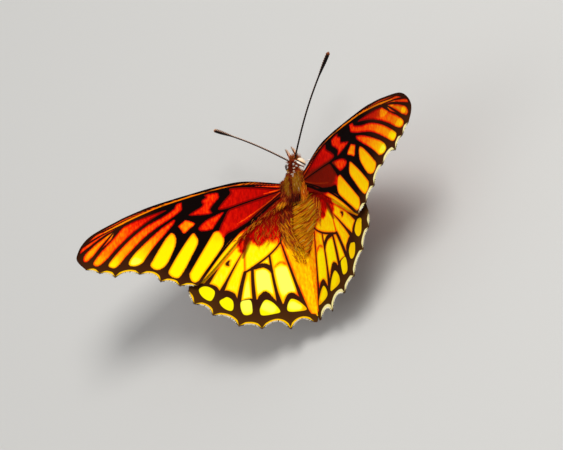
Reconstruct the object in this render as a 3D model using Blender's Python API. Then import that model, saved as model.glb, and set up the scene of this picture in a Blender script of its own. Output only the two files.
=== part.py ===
# Mexican silverspot butterfly, life size, standing with its wings held open in a shallow V.
# Sizes are millimetres in the body's own frame: X to its right, Y to its head, Z up from its back, with
# the origin midway between the forewing hinges. The body frame is then pitched and set on its feet.
import math

import bmesh
import bpy
from mathutils import Matrix, Vector
from mathutils.geometry import delaunay_2d_cdt, intersect_point_line

MM = 0.001
GAP = 0.3

# Pose on the floor
PITCH = math.radians(8)
BACK_HEIGHT = 9.0
BACK_FORWARD = 3.95

# Wings
ROOT_X = 2.9
WING_HALF = 0.25
ROOT_EXTRA = 0.1
ROOT_FADE = 1.5
RIDGE_TOP = 0.2
RIDGE_BELOW = 0.12
VEIN_STEP = 3.2

FOREWING = {
    "lift": -0.02,
    "dihedral": math.radians(26.2),
    "camber": -0.00057,
    "twist": -0.047,
    "drop": 0.0,
    "hinge": (2.9, -0.8),
    "costa": [(2.9, 0.8), (9.0, 2.8), (18.0, 3.6), (27.0, 2.45), (34.5, 0.3), (38.4, -2.2), (40.3, -5.6)],
    "tips": {
        "R5": (38.8, -8.4),
        "M1": (36.4, -9.8),
        "M2": (33.7, -11.4),
        "M3": (29.2, -11.9),
        "Cu1": (25.7, -14.4),
        "Cu2": (22.4, -16.2),
        "2A": (19.3, -17.0),
    },
    "scallops": [0.25, 0.55, 0.9, 0.95, 0.65, 0.25],
    "inner": [(16.4, -14.4), (10.9, -9.0), (7.1, -5.9), (5.0, -4.5), (3.6, -3.4), (2.9, -2.4)],
    "stems": {
        "R": [(2.9, -0.4), (10.0, 1.9), (17.2, 2.2), (24.6, 1.2), (32.5, -1.3)],
        "Cu": [(2.9, -0.9), (9.5, -1.8), (15.3, -2.4), (20.0, -1.8), (20.3, 0.4), (20.0, 1.9)],
    },
    "branches": {
        "Sc": ((2.9, 0.3), (22.5, 3.05), 0.85),
        "R1": ((17.5, 2.2), (27.4, 2.3), 0.2),
        "R2": ((21.5, 1.75), (31.4, 1.3), 0.2),
        "R3": ((30.6, -0.5), (39.3, -3.6), 0.3),
        "R4": ((32.5, -1.3), (40.2, -5.5), 0.25),
        "R5": ((32.5, -1.3), (38.8, -8.4), 0.25),
        "M1": ((20.0, 1.9), (36.4, -9.8), 1.4),
        "M2": ((20.3, 0.4), (33.7, -11.4), 0.9),
        "M3": ((20.0, -1.8), (29.2, -11.9), 1.1),
        "Cu1": ((16.7, -2.3), (25.7, -14.4), 0.55),
        "Cu2": ((12.6, -2.3), (22.4, -16.2), 0.1),
        "2A": ((2.9, -1.5), (19.3, -17.0), 1.0),
    },
    "root": (0.8, -2.4),
}

HINDWING = {
    "lift": -0.55,
    "dihedral": math.radians(25.8),
    "camber": -0.00038,
    "twist": 0.0097,
    "drop": 0.35,
    "hinge": (2.9, -4.3),
    "costa": [(2.9, -3.45), (7.0, -4.3), (12.5, -6.7), (17.5, -10.6), (20.6, -14.2), (21.6, -17.0)],
    "tips": {
        "Rs": (20.9, -20.3),
        "M1": (17.9, -23.4),
        "M2": (13.8, -26.5),
        "M3": (9.8, -28.0),
        "Cu1": (4.9, -29.5),
        "Cu2": (0.9, -28.9),
    },
    "scallops": [0.8, 0.95, 1.2, 1.9, 1.7],
    "inner": [(0.45, -27.4), (0.45, -14.0), (0.8, -11.0), (1.6, -8.5), (2.45, -6.4), (2.9, -5.1)],
    "stems": {
        "M": [(2.9, -4.5), (6.0, -6.1), (8.6, -7.6), (10.2, -11.0), (10.9, -15.9)],
        "Cu": [(2.9, -4.8), (3.2, -8.0), (3.9, -11.1), (6.2, -13.4), (9.5, -15.3), (10.9, -15.9)],
    },
    "branches": {
        "Sc": ((2.9, -4.1), (21.4, -16.4), 2.3),
        "Rs": ((8.6, -7.6), (20.9, -20.3), 0.4),
        "M1": ((10.2, -11.0), (17.9, -23.4), 0.25),
        "M2": ((10.9, -15.9), (13.8, -26.5), 0.3),
        "M3": ((9.5, -15.3), (9.8, -28.0), 0.3),
        "Cu1": ((6.2, -13.4), (4.9, -29.5), 0.4),
        "Cu2": ((3.9, -11.1), (0.9, -28.9), 0.1),
    },
    "root": (-3.45, -5.1),
}
STEM_WIDTH = 0.42
BRANCH_WIDTH = 0.3

# Body, each line a section: its place along Y, half width, half height and middle height
THORAX = [
    (-5.2, 1.35, 1.3, -1.35),
    (-4.5, 1.85, 1.7, -1.1),
    (-3.0, 2.45, 2.25, -0.75),
    (-1.0, 2.8, 2.45, -0.6),
    (0.7, 2.75, 2.35, -0.6),
    (1.8, 2.5, 2.1, -0.65),
    (2.5, 2.15, 1.75, -0.75),
    (2.85, 1.7, 1.45, -0.85),
]
HEAD = [
    (3.15, 1.55, 1.35, -0.9),
    (3.6, 1.7, 1.45, -0.95),
    (4.2, 1.7, 1.45, -1.05),
    (5.0, 1.4, 1.3, -1.15),
    (5.6, 0.95, 0.95, -1.2),
    (5.95, 0.45, 0.5, -1.2),
]
ABDOMEN = [
    (-21.3, 0.4, 0.4, -2.75),
    (-20.2, 0.85, 0.85, -2.85),
    (-17.0, 1.35, 1.3, -3.1),
    (-13.0, 1.65, 1.6, -3.2),
    (-9.5, 1.7, 1.65, -2.95),
    (-7.0, 1.5, 1.45, -2.3),
    (-5.5, 1.2, 1.15, -1.5),
]
ABDOMEN_RINGS = 8
RING_GROOVE = 0.06
EYE_AT = (1.35, 4.2, -1.0)
EYE_RADII = (0.84, 1.0, 1.1)
EYE_GAP = 0.25

# Feelers and mouth parts
ANTENNA_FROM = (0.62, 5.05, -0.2)
ANTENNA_TO = {"left": (-16.35, 17.95, 0.7), "right": (13.45, 22.1, 1.8)}
ANTENNA_BOW = {"left": 0.45, "right": 1.1}
SHAFT_RADIUS = 0.27
CLUB_RADIUS = 0.58
CLUB_START = 0.84
PALP = [(0.6, 4.7, -1.7), (0.62, 5.6, -1.75), (0.75, 6.15, -0.9), (0.72, 6.9, -0.18), (0.7, 7.45, 0.46)]
PALP_RADII = [0.3, 0.35, 0.34, 0.3, 0.24]
TONGUE_CENTRE = (5.5, -3.85)
TONGUE_OUTER = 1.05
TONGUE_PITCH = 0.78
TONGUE_TURNS = 1.1
TONGUE_START = math.radians(110)
TONGUE_RADIUS = 0.23

# Legs, on the right side. Fore legs are small and folded, in the body's frame; the others give their root
# there and the rest on the floor below the body's origin
FORELEG = [(0.9, 1.6, -1.7), (1.9, 2.9, -2.6), (3.1, 4.3, -2.5), (2.5, 4.75, -2.45), (1.6, 5.0, -2.65)]
FORELEG_RADII = [0.36, 0.32, 0.28, 0.27, 0.25]
WALKING_LEGS = {
    "mid": {
        "root": (1.3, -0.4, -1.9),
        "floor": [(4.9, 1.9, 5.6), (6.85, 3.25, 0.75), (7.2, 3.9, 0.2), (8.3, 6.7, 0.2)],
    },
    "hind": {
        "root": (1.2, -3.2, -1.9),
        "floor": [(4.8, -7.4, 5.4), (6.2, -11.2, 0.8), (6.4, -11.9, 0.2), (7.5, -15.2, 0.2)],
    },
}
LEG_RADII = [0.45, 0.34, 0.29, 0.29, 0.27]

COLOURS = {
    "wing": (0.85, 0.33, 0.03, 0.55),
    "body": (0.23, 0.10, 0.03, 0.8),
    "eye": (0.03, 0.015, 0.01, 0.2),
    "feeler": (0.02, 0.015, 0.012, 0.5),
    "leg": (0.45, 0.28, 0.12, 0.6),
}


def clear_scene():
    for obj in list(bpy.data.objects):
        bpy.data.objects.remove(obj, do_unlink=True)


def finish_of(name, kind):
    red, green, blue, roughness = COLOURS[kind]
    material = bpy.data.materials.new(name)
    material.use_nodes = True
    shader = material.node_tree.nodes["Principled BSDF"]
    shader.inputs["Base Color"].default_value = (red, green, blue, 1)
    shader.inputs["Roughness"].default_value = roughness
    return material


def mesh_object(name, bm):
    bmesh.ops.recalc_face_normals(bm, faces=bm.faces[:])
    mesh = bpy.data.meshes.new(name)
    bm.to_mesh(mesh)
    bm.free()
    obj = bpy.data.objects.new(name, mesh)
    bpy.context.scene.collection.objects.link(obj)
    return obj


def smooth_line(points, steps):
    """A Catmull-Rom curve through points of any size, as tuples."""
    ends = [points[0]] + list(points) + [points[-1]]
    line = []
    for a, b, c, d in zip(ends, ends[1:], ends[2:], ends[3:]):
        for step in range(steps):
            t = step / steps
            line.append(
                tuple(
                    0.5 * (2 * q + (r - p) * t + (2 * p - 5 * q + 4 * r - s) * t**2 + (3 * q - p - 3 * r + s) * t**3)
                    for p, q, r, s in zip(a, b, c, d)
                )
            )
    return line + [tuple(points[-1])]


def bowed_line(start, end, bulge, steps):
    """An arc in the plane from start to end that stands off its chord by bulge, to the left."""
    across = Vector(end) - Vector(start)
    side = Vector((-across.y, across.x)).normalized()
    return [
        tuple(Vector(start) + across * t + side * bulge * 4 * t * (1 - t))
        for t in (step / steps for step in range(steps + 1))
    ]


def span(line):
    return sum((Vector(b) - Vector(a)).length for a, b in zip(line, line[1:]))


# Wings

def wing_outline(wing):
    tips = list(wing["tips"].values())
    outline = smooth_line(wing["costa"] + tips[:1], 3)
    for start, end, depth in zip(tips, tips[1:], wing["scallops"]):
        outline += bowed_line(start, end, -depth, 5)[1:]
    return outline + smooth_line(tips[-1:] + wing["inner"], 3)[1:]


def wing_veins(wing):
    """Each vein as its middle line and its half width at the root."""
    veins = []
    for points in wing["stems"].values():
        steps = max(2, round(span(points) / len(points) / VEIN_STEP) + 1)
        veins.append((smooth_line(points, steps), STEM_WIDTH))
    for start, end, bulge in wing["branches"].values():
        steps = max(3, round(math.dist(start, end) / VEIN_STEP))
        veins.append((bowed_line(start, end, bulge, steps), BRANCH_WIDTH))
    return veins


def vein_width(share, width):
    """Half width of a vein at a share of its length: full past its fork, and thinner to its tip."""
    return width * min(1, 0.25 + share * 8) * (1 - 0.45 * share)


def ridge(point, veins):
    """How much of the full ridge height stands at a point of the wing."""
    height = 0
    for line, width in veins:
        for index, (a, b) in enumerate(zip(line, line[1:])):
            foot, t = intersect_point_line(point, a, b)
            t = min(1, max(0, t))
            foot = Vector(a).lerp(Vector(b), t)
            share = (index + t) / (len(line) - 1)
            rise = 1 - (point - foot).length / vein_width(share, width)
            height = max(height, rise * (1 - 0.5 * share))
    return height


def wing_height(wing, x, y):
    away = (x - wing["hinge"][0]) ** 2 + (y - wing["hinge"][1]) ** 2
    height = wing["lift"] + math.tan(wing["dihedral"]) * x + wing["camber"] * x * x + wing["twist"] * y
    return height - wing["drop"] * math.exp(-away / 9)


def wing_half(wing, x):
    half = WING_HALF + ROOT_EXTRA * math.exp(-(x - ROOT_X) / ROOT_FADE)
    return half / math.cos(wing["dihedral"])


def side_line(line, width, side):
    shifted = []
    last = len(line) - 1
    for index, point in enumerate(line):
        along = Vector(line[min(index + 1, last)]) - Vector(line[max(index - 1, 0)])
        across = Vector((-along.y, along.x)).normalized()
        shifted.append(Vector(point) + across * side * vein_width(index / last, width))
    return shifted


def wing_object(name, wing, side):
    """One closed sheet, split into the same triangles above and below, its veins raised on both faces."""
    points = []
    edges = []

    def add_line(line, closed=False):
        first = len(points)
        points.extend(Vector(point).to_2d() for point in line)
        edges.extend((first + index, first + index + 1) for index in range(len(line) - 1))
        if closed:
            edges.append((len(points) - 1, first))

    veins = wing_veins(wing)
    add_line(wing_outline(wing), closed=True)
    for line, width in veins:
        add_line(line)
        for edge in (-1, 1):
            add_line(side_line(line, width, edge)[1:-1])
    flat, _, triangles, _, _, _ = delaunay_2d_cdt(points, edges, [], 1, 0.03)

    bm = bmesh.new()
    layers = []
    for sense, rise in ((1, RIDGE_TOP), (-1, RIDGE_BELOW)):
        layer = []
        for point in flat:
            x, y = point
            height = wing_height(wing, x, y)
            height += sense * (wing_half(wing, x) + rise * ridge(point, veins))
            layer.append(bm.verts.new((side * x, y, height)))
        layers.append(layer)
    uses = {}
    for triangle in triangles:
        for layer in layers:
            bm.faces.new([layer[index] for index in triangle])
        for a, b in zip(triangle, triangle[1:] + triangle[:1]):
            uses[frozenset((a, b))] = uses.get(frozenset((a, b)), 0) + 1
    top, below = layers
    for edge, count in uses.items():
        if count == 1:
            a, b = edge
            bm.faces.new((top[a], top[b], below[b]))
            bm.faces.new((top[a], below[b], below[a]))
    bmesh.ops.delete(bm, geom=[vert for vert in bm.verts if not vert.link_faces], context="VERTS")
    return mesh_object(name, bm)


def wing_base(name, wing, side):
    """The short shoulder on the thorax that a wing's root faces, in the wing's own plane."""
    front, rear = wing["root"]
    margin = 0.15
    half = (WING_HALF + ROOT_EXTRA + margin) / math.cos(wing["dihedral"])
    bm = bmesh.new()
    corners = []
    for x in (0.3, ROOT_X - GAP):
        ring = []
        for y, sense in ((front + margin, -1), (front + margin, 1), (rear, 1), (rear, -1)):
            ring.append(bm.verts.new((side * x, y, wing_height(wing, x, y) + sense * half)))
        corners.append(ring)
    inner, outer = corners
    bm.faces.new(inner)
    bm.faces.new(outer)
    for index in range(4):
        after = (index + 1) % 4
        bm.faces.new((inner[index], inner[after], outer[after], outer[index]))
    return mesh_object(name, bm)


# Lofts and tubes

def loft(name, rings):
    bm = bmesh.new()
    loops = [[bm.verts.new(point) for point in ring] for ring in rings]
    sides = len(loops[0])
    for one, other in zip(loops, loops[1:]):
        for index in range(sides):
            after = (index + 1) % sides
            bm.faces.new((one[index], one[after], other[after], other[index]))
    bm.faces.new(loops[0])
    bm.faces.new(loops[-1])
    return mesh_object(name, bm)


def body_loft(name, sections, steps, sides, swell=0.0):
    """A body part turned about Y from its sections; swell gives the same shape grown all round."""
    lines = smooth_line(sections, steps)
    rings = []
    for index, (y, half_width, half_height, middle) in enumerate(lines):
        if index == 0:
            y -= swell
        if index == len(lines) - 1:
            y += swell
        rings.append(
            [
                (
                    (half_width + swell) * math.cos(turn),
                    y,
                    middle + (half_height + swell) * math.sin(turn),
                )
                for turn in (2 * math.pi * side / sides for side in range(sides))
            ]
        )
    return loft(name, rings)


def tube(name, points, radii, sides):
    """A round tube along points; its frame is carried from ring to ring, so that it doesn't twist."""
    line = [Vector(point) for point in points]
    last = len(line) - 1
    rings = []
    across = Vector((0, 0, 1))
    for index, (point, radius) in enumerate(zip(line, radii)):
        along = (line[min(index + 1, last)] - line[max(index - 1, 0)]).normalized()
        if index == 0 and abs(along.dot(across)) > 0.9:
            across = Vector((0, 1, 0))
        across = (across - along * along.dot(across)).normalized()
        other = along.cross(across)
        rings.append(
            [
                point + (across * math.cos(turn) + other * math.sin(turn)) * radius
                for turn in (2 * math.pi * side / sides for side in range(sides))
            ]
        )
    return loft(name, rings)


def smooth_tube(name, points, radii, steps, sides):
    line = smooth_line([tuple(point) + (radius,) for point, radius in zip(points, radii)], steps)
    return tube(name, [point[:3] for point in line], [point[3] for point in line], sides)


def ball(name, centre, radii, swell=0.0):
    bm = bmesh.new()
    bmesh.ops.create_uvsphere(bm, u_segments=16, v_segments=10, radius=1)
    size = Matrix.Diagonal([radius + swell for radius in radii]).to_4x4()
    bm.transform(Matrix.Translation(centre) @ size)
    return mesh_object(name, bm)


def largest_body(mesh):
    """Keeps the closed surface that holds the most, which drops any loose scrap."""
    bm = bmesh.new()
    bm.from_mesh(mesh)
    waiting = set(bm.verts)
    bodies = []
    while waiting:
        found = {waiting.pop()}
        edge = list(found)
        while edge:
            near = {link.other_vert(vert) for vert in edge for link in vert.link_edges} & waiting
            waiting -= near
            found |= near
            edge = list(near)
        bodies.append(found)
    bodies.sort(key=len, reverse=True)
    loose = [vert for body in bodies[1:] for vert in body]
    bmesh.ops.delete(bm, geom=loose, context="VERTS")
    bmesh.ops.triangulate(bm, faces=bm.faces[:])
    bm.to_mesh(mesh)
    bm.free()


def fused(name, pieces, cutters=()):
    """One closed body from pieces that cross each other, less the cutters."""
    base = pieces[0]
    helpers = list(pieces[1:]) + list(cutters)
    if len(pieces) > 1:
        rest = bpy.data.collections.new(name + "_rest")
        for piece in pieces[1:]:
            rest.objects.link(piece)
        join = base.modifiers.new("join", "BOOLEAN")
        join.operation = "UNION"
        join.operand_type = "COLLECTION"
        join.collection = rest
    for cutter in cutters:
        cut = base.modifiers.new("cut", "BOOLEAN")
        cut.operation = "DIFFERENCE"
        cut.object = cutter
    bpy.context.view_layer.update()
    graph = bpy.context.evaluated_depsgraph_get()
    mesh = bpy.data.meshes.new_from_object(base.evaluated_get(graph))
    largest_body(mesh)
    for helper in helpers + [base]:
        bpy.data.objects.remove(helper, do_unlink=True)
    obj = bpy.data.objects.new(name, mesh)
    bpy.context.scene.collection.objects.link(obj)
    return obj


def as_node(obj, kind, pose):
    """Scales the piece to metres, shades it, gives it its finish and carries it by the pose."""
    obj.data.transform(Matrix.Scale(MM, 4))
    obj.data.shade_smooth()
    obj.data.set_sharp_from_angle(angle=math.radians(40))
    obj.data.materials.clear()
    obj.data.materials.append(finish_of(obj.name + "_finish", kind))
    obj.parent = pose


# Parts

def make_thorax():
    pieces = [body_loft("thorax_core", THORAX, 2, 20)]
    for side in (-1, 1):
        for label, wing in (("fore", FOREWING), ("hind", HINDWING)):
            pieces.append(wing_base(f"{label}_base_{side}", wing, side))
    return fused("thorax", pieces)


def make_abdomen():
    """The sections joined by a smooth line, with a shallow groove between one ring and the next."""
    lines = smooth_line(ABDOMEN, 4)
    rings = []
    for index, (y, half_width, half_height, middle) in enumerate(lines):
        share = (y - ABDOMEN[0][0]) / (ABDOMEN[-1][0] - ABDOMEN[0][0])
        pinch = 1 - RING_GROOVE * (0.5 + 0.5 * math.cos(2 * math.pi * ABDOMEN_RINGS * share))
        rings.append((y, half_width * pinch, half_height * pinch, middle))
    return body_loft("abdomen", rings, 1, 16)


def make_head():
    sockets = []
    for side in (-1, 1):
        x, y, z = EYE_AT
        sockets.append(ball(f"socket_{side}", (side * x, y, z), EYE_RADII, EYE_GAP))
    return fused("head", [body_loft("head_core", HEAD, 2, 16)], sockets)


def make_eye(name, side):
    x, y, z = EYE_AT
    return ball(name, (side * x, y, z), EYE_RADII)


def make_antenna(name, side, label):
    x, y, z = ANTENNA_FROM
    start = Vector((side * x, y, z))
    end = Vector(ANTENNA_TO[label])
    along = end - start
    inward = Vector((0, 0, 1)).cross(along).normalized() * side
    start = start - along.normalized() * 0.7
    points = []
    radii = []
    steps = 14
    for step in range(steps + 1):
        t = step / steps
        points.append(start.lerp(end, t) + inward * ANTENNA_BOW[label] * math.sin(math.pi * t))
        swell = min(1, max(0, (t - CLUB_START) / (1 - CLUB_START)))
        radii.append(SHAFT_RADIUS + (CLUB_RADIUS - SHAFT_RADIUS) * math.sin(math.pi * 0.62 * swell) ** 1.5)
    points.append(end + along.normalized() * 0.3)
    radii.append(0.25)
    cutter = body_loft("head_clearance", HEAD, 2, 16, GAP)
    return fused(name, [tube(name + "_tube", points, radii, 8)], [cutter])


def make_palp(name, side):
    points = [(side * x, y, z) for x, y, z in PALP]
    cutter = body_loft("head_clearance", HEAD, 2, 16, GAP)
    return fused(name, [smooth_tube(name + "_tube", points, PALP_RADII, 3, 8)], [cutter])


def make_tongue():
    points = [(0, 4.8, -1.6), (0, 4.8, -2.4)]
    steps = 20
    for step in range(steps + 1):
        share = step / steps
        turn = TONGUE_START - 2 * math.pi * TONGUE_TURNS * share
        radius = TONGUE_OUTER - TONGUE_PITCH * TONGUE_TURNS * share
        y, z = TONGUE_CENTRE
        points.append((0, y + radius * math.cos(turn), z + radius * math.sin(turn)))
    cutter = body_loft("head_clearance", HEAD, 2, 16, GAP)
    return fused("proboscis", [tube("tongue_tube", points, [TONGUE_RADIUS] * len(points), 8)], [cutter])


def make_foreleg(name, side):
    points = [(side * x, y, z) for x, y, z in FORELEG]
    cutter = body_loft("thorax_clearance", THORAX, 2, 20, GAP)
    return fused(name, [smooth_tube(name + "_tube", points, FORELEG_RADII, 3, 8)], [cutter])


def make_walking_leg(name, side, leg, to_body):
    """A leg from its hip to a tarsus that lies along the floor, with its sole cut flat there."""
    x, y, z = leg["root"]
    points = [(side * x, y, z)]
    points += [tuple(to_body @ Vector((side * x, y + BACK_FORWARD, z))) for x, y, z in leg["floor"]]
    bm = bmesh.new()
    bmesh.ops.create_cube(bm, size=60)
    bm.transform(to_body @ Matrix.Translation((0, 0, -30)))
    floor = mesh_object(name + "_floor", bm)
    cutter = body_loft("thorax_clearance", THORAX, 2, 20, GAP)
    return fused(name, [smooth_tube(name + "_tube", points, LEG_RADII, 3, 8)], [cutter, floor])


def main():
    clear_scene()
    pose = bpy.data.objects.new("pose", None)
    pose.location = Vector((0, BACK_FORWARD, BACK_HEIGHT)) * MM
    pose.rotation_euler = (PITCH, 0, 0)
    bpy.context.scene.collection.objects.link(pose)
    to_world = Matrix.Translation((0, BACK_FORWARD, BACK_HEIGHT)) @ Matrix.Rotation(PITCH, 4, "X")
    to_body = to_world.inverted()

    as_node(make_thorax(), "body", pose)
    as_node(make_head(), "body", pose)
    as_node(make_abdomen(), "body", pose)
    as_node(make_tongue(), "feeler", pose)
    for side, label in ((-1, "left"), (1, "right")):
        as_node(make_eye("eye_" + label, side), "eye", pose)
        as_node(make_antenna("antenna_" + label, side, label), "feeler", pose)
        as_node(make_palp("palp_" + label, side), "leg", pose)
        as_node(wing_object("forewing_" + label, FOREWING, side), "wing", pose)
        as_node(wing_object("hindwing_" + label, HINDWING, side), "wing", pose)
        as_node(make_foreleg("foreleg_" + label, side), "leg", pose)
        for pair, leg in WALKING_LEGS.items():
            as_node(make_walking_leg(f"{pair}leg_{label}", side, leg, to_body), "leg", pose)


main()
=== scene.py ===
import math

import bpy
import numpy as np
from mathutils import Matrix, Vector
from mathutils.geometry import delaunay_2d_cdt


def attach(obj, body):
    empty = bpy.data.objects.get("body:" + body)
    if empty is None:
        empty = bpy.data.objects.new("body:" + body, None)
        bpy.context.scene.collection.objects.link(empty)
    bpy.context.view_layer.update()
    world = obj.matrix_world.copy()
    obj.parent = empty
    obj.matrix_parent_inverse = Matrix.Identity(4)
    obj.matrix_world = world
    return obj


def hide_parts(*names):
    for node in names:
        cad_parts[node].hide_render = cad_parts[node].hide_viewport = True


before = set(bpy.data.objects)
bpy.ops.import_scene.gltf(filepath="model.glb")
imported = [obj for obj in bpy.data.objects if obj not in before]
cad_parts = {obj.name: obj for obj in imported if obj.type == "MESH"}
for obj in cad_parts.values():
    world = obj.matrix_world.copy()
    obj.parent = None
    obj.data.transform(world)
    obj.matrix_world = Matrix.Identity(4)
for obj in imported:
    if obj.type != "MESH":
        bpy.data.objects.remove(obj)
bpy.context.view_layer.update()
print("frame loaded:", len(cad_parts), "nodes")

# How the body frame stands on the floor
stance = {
    "pitch": math.radians(8),
    "backHeight": 9.0,
    "backForward": 3.95,
    "metresPerMm": 0.001,
}
onFloor = (
    Matrix.Translation((0, stance["backForward"], stance["backHeight"]))
    @ Matrix.Rotation(stance["pitch"], 4, "X")
)
toWorld = Matrix.Scale(stance["metresPerMm"], 4) @ onFloor
bothSides = ((-1, "left"), (1, "right"))


# Small helpers

def paint(hexValue):
    # A hex colour as linear light
    parts = [int(hexValue[i:i + 2], 16) / 255 for i in (1, 3, 5)]
    return tuple(c / 12.92 if c <= 0.04045 else ((c + 0.055) / 1.055) ** 2.4 for c in parts) + (1.0,)


def addNode(tree, kind, settings=None, links=None):
    node = tree.nodes.new(kind)
    for name, value in (settings or {}).items():
        if isinstance(name, str) and hasattr(node, name):
            setattr(node, name, value)
        else:
            node.inputs[name].default_value = value
    for name, source in (links or {}).items():
        tree.links.new(source, node.inputs[name])
    return node


def startMaterial(name, settings):
    material = bpy.data.materials.new(name)
    material.use_nodes = True
    shader = material.node_tree.nodes["Principled BSDF"]
    for socket, value in settings.items():
        shader.inputs[socket].default_value = value
    return material, material.node_tree, shader


def fieldNode(tree, name):
    return addNode(tree, "ShaderNodeAttribute", {"attribute_name": name}).outputs["Fac"]


def rangeNode(tree, value, low, high, outLow=0.0, outHigh=1.0):
    settings = {"From Min": low, "From Max": high, "To Min": outLow, "To Max": outHigh}
    return addNode(tree, "ShaderNodeMapRange", settings, {"Value": value}).outputs[0]


def grainNode(tree, stretch, detail):
    # Noise over the piece; stretch is its waves per metre along X, Y and Z
    place = addNode(tree, "ShaderNodeTexCoord").outputs["Object"]
    waves = addNode(tree, "ShaderNodeMapping", {"Scale": stretch}, {"Vector": place}).outputs["Vector"]
    settings = {"Scale": 1.0, "Detail": detail}
    return addNode(tree, "ShaderNodeTexNoise", settings, {"Vector": waves}).outputs["Fac"]


def rampNode(tree, value, stops):
    node = addNode(tree, "ShaderNodeValToRGB", None, {"Fac": value})
    ramp = node.color_ramp
    while len(ramp.elements) < len(stops):
        ramp.elements.new(0.5)
    for element, (place, hexValue) in zip(ramp.elements, stops):
        element.position = place
        element.color = paint(hexValue)
    return node.outputs["Color"]


def addBump(tree, shader, height, strength, depth, inward=False):
    settings = {"Strength": strength, "Distance": depth, "invert": inward}
    bump = addNode(tree, "ShaderNodeBump", settings, {"Height": height})
    tree.links.new(bump.outputs["Normal"], shader.inputs["Normal"])


def smoothLine(points, steps):
    # A smooth curve through all the points
    ends = [points[0]] + list(points) + [points[-1]]
    line = []
    for a, b, c, d in zip(ends, ends[1:], ends[2:], ends[3:]):
        for step in range(steps):
            t = step / steps
            line.append(tuple(
                0.5 * (2 * q + (r - p) * t + (2 * p - 5 * q + 4 * r - s) * t**2
                       + (3 * q - p - 3 * r + s) * t**3)
                for p, q, r, s in zip(a, b, c, d)
            ))
    return line + [tuple(points[-1])]


def bowedLine(start, end, bulge, steps):
    # A shallow arc that stands out by the bulge in its middle
    across = Vector(end) - Vector(start)
    side = Vector((-across.y, across.x)).normalized()
    return [
        tuple(Vector(start) + across * t + side * bulge * 4 * t * (1 - t))
        for t in (step / steps for step in range(steps + 1))
    ]


def evenLine(line, spacing):
    line = np.array(line, float)
    lengths = np.concatenate([[0], np.cumsum(np.linalg.norm(np.diff(line, axis=0), axis=1))])
    count = max(1, round(lengths[-1] / spacing))
    at = np.linspace(0, lengths[-1], count + 1)
    return np.stack([np.interp(at, lengths, line[:, k]) for k in range(line.shape[1])], axis=1)


def placePiece(piece, body, replaced, material):
    piece.data.transform(toWorld)
    piece.data.materials.clear()
    piece.data.materials.append(material)
    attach(piece, body)
    if replaced:
        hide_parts(*replaced)


def meshPiece(name, verts, faces):
    mesh = bpy.data.meshes.new(name)
    mesh.from_pydata([tuple(v) for v in verts], [], faces)
    mesh.update()
    mesh.shade_smooth()
    piece = bpy.data.objects.new(name, mesh)
    bpy.context.scene.collection.objects.link(piece)
    return piece


def selectOnly(pieces):
    bpy.ops.object.select_all(action="DESELECT")
    for piece in pieces:
        piece.select_set(True)
    bpy.context.view_layer.objects.active = pieces[-1]


def makeBall(middle, radii, segments, rings):
    bpy.ops.object.select_all(action="DESELECT")
    bpy.ops.mesh.primitive_uv_sphere_add(segments=segments, ring_count=rings, radius=1, location=middle)
    bpy.ops.transform.resize(value=radii, center_override=middle)
    bpy.ops.object.transform_apply(location=True, rotation=True, scale=True)
    return bpy.context.object


def setField(piece, name, values):
    field = piece.data.attributes.new(name, "FLOAT", "POINT")
    field.data.foreach_set("value", np.asarray(values, np.float32))


def strokeField(at, line, widths):
    # Signed distance to the edge of a stroke of changing width, positive inside
    stations = smoothLine([(x, y, w) for (x, y), w in zip(line, widths)], marking["strokeSteps"])
    best = np.full(len(at), -1e3)
    for start, end in zip(stations, stations[1:]):
        a = np.array(start[:2])
        run = np.array(end[:2]) - a
        t = np.clip((at - a) @ run / max(run @ run, 1e-9), 0, 1)
        value = start[2] + t * (end[2] - start[2]) - np.linalg.norm(at - a - t[:, None] * run, axis=1)
        best = np.maximum(best, value)
    return best


def softMax(a, b, k):
    return k * np.logaddexp(a / k, b / k)


def smoothStep(values, low, high):
    t = np.clip((values - low) / (high - low), 0, 1)
    return t * t * (3 - 2 * t)


# Wings: where their edges, veins and markings run, on the right side

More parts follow.
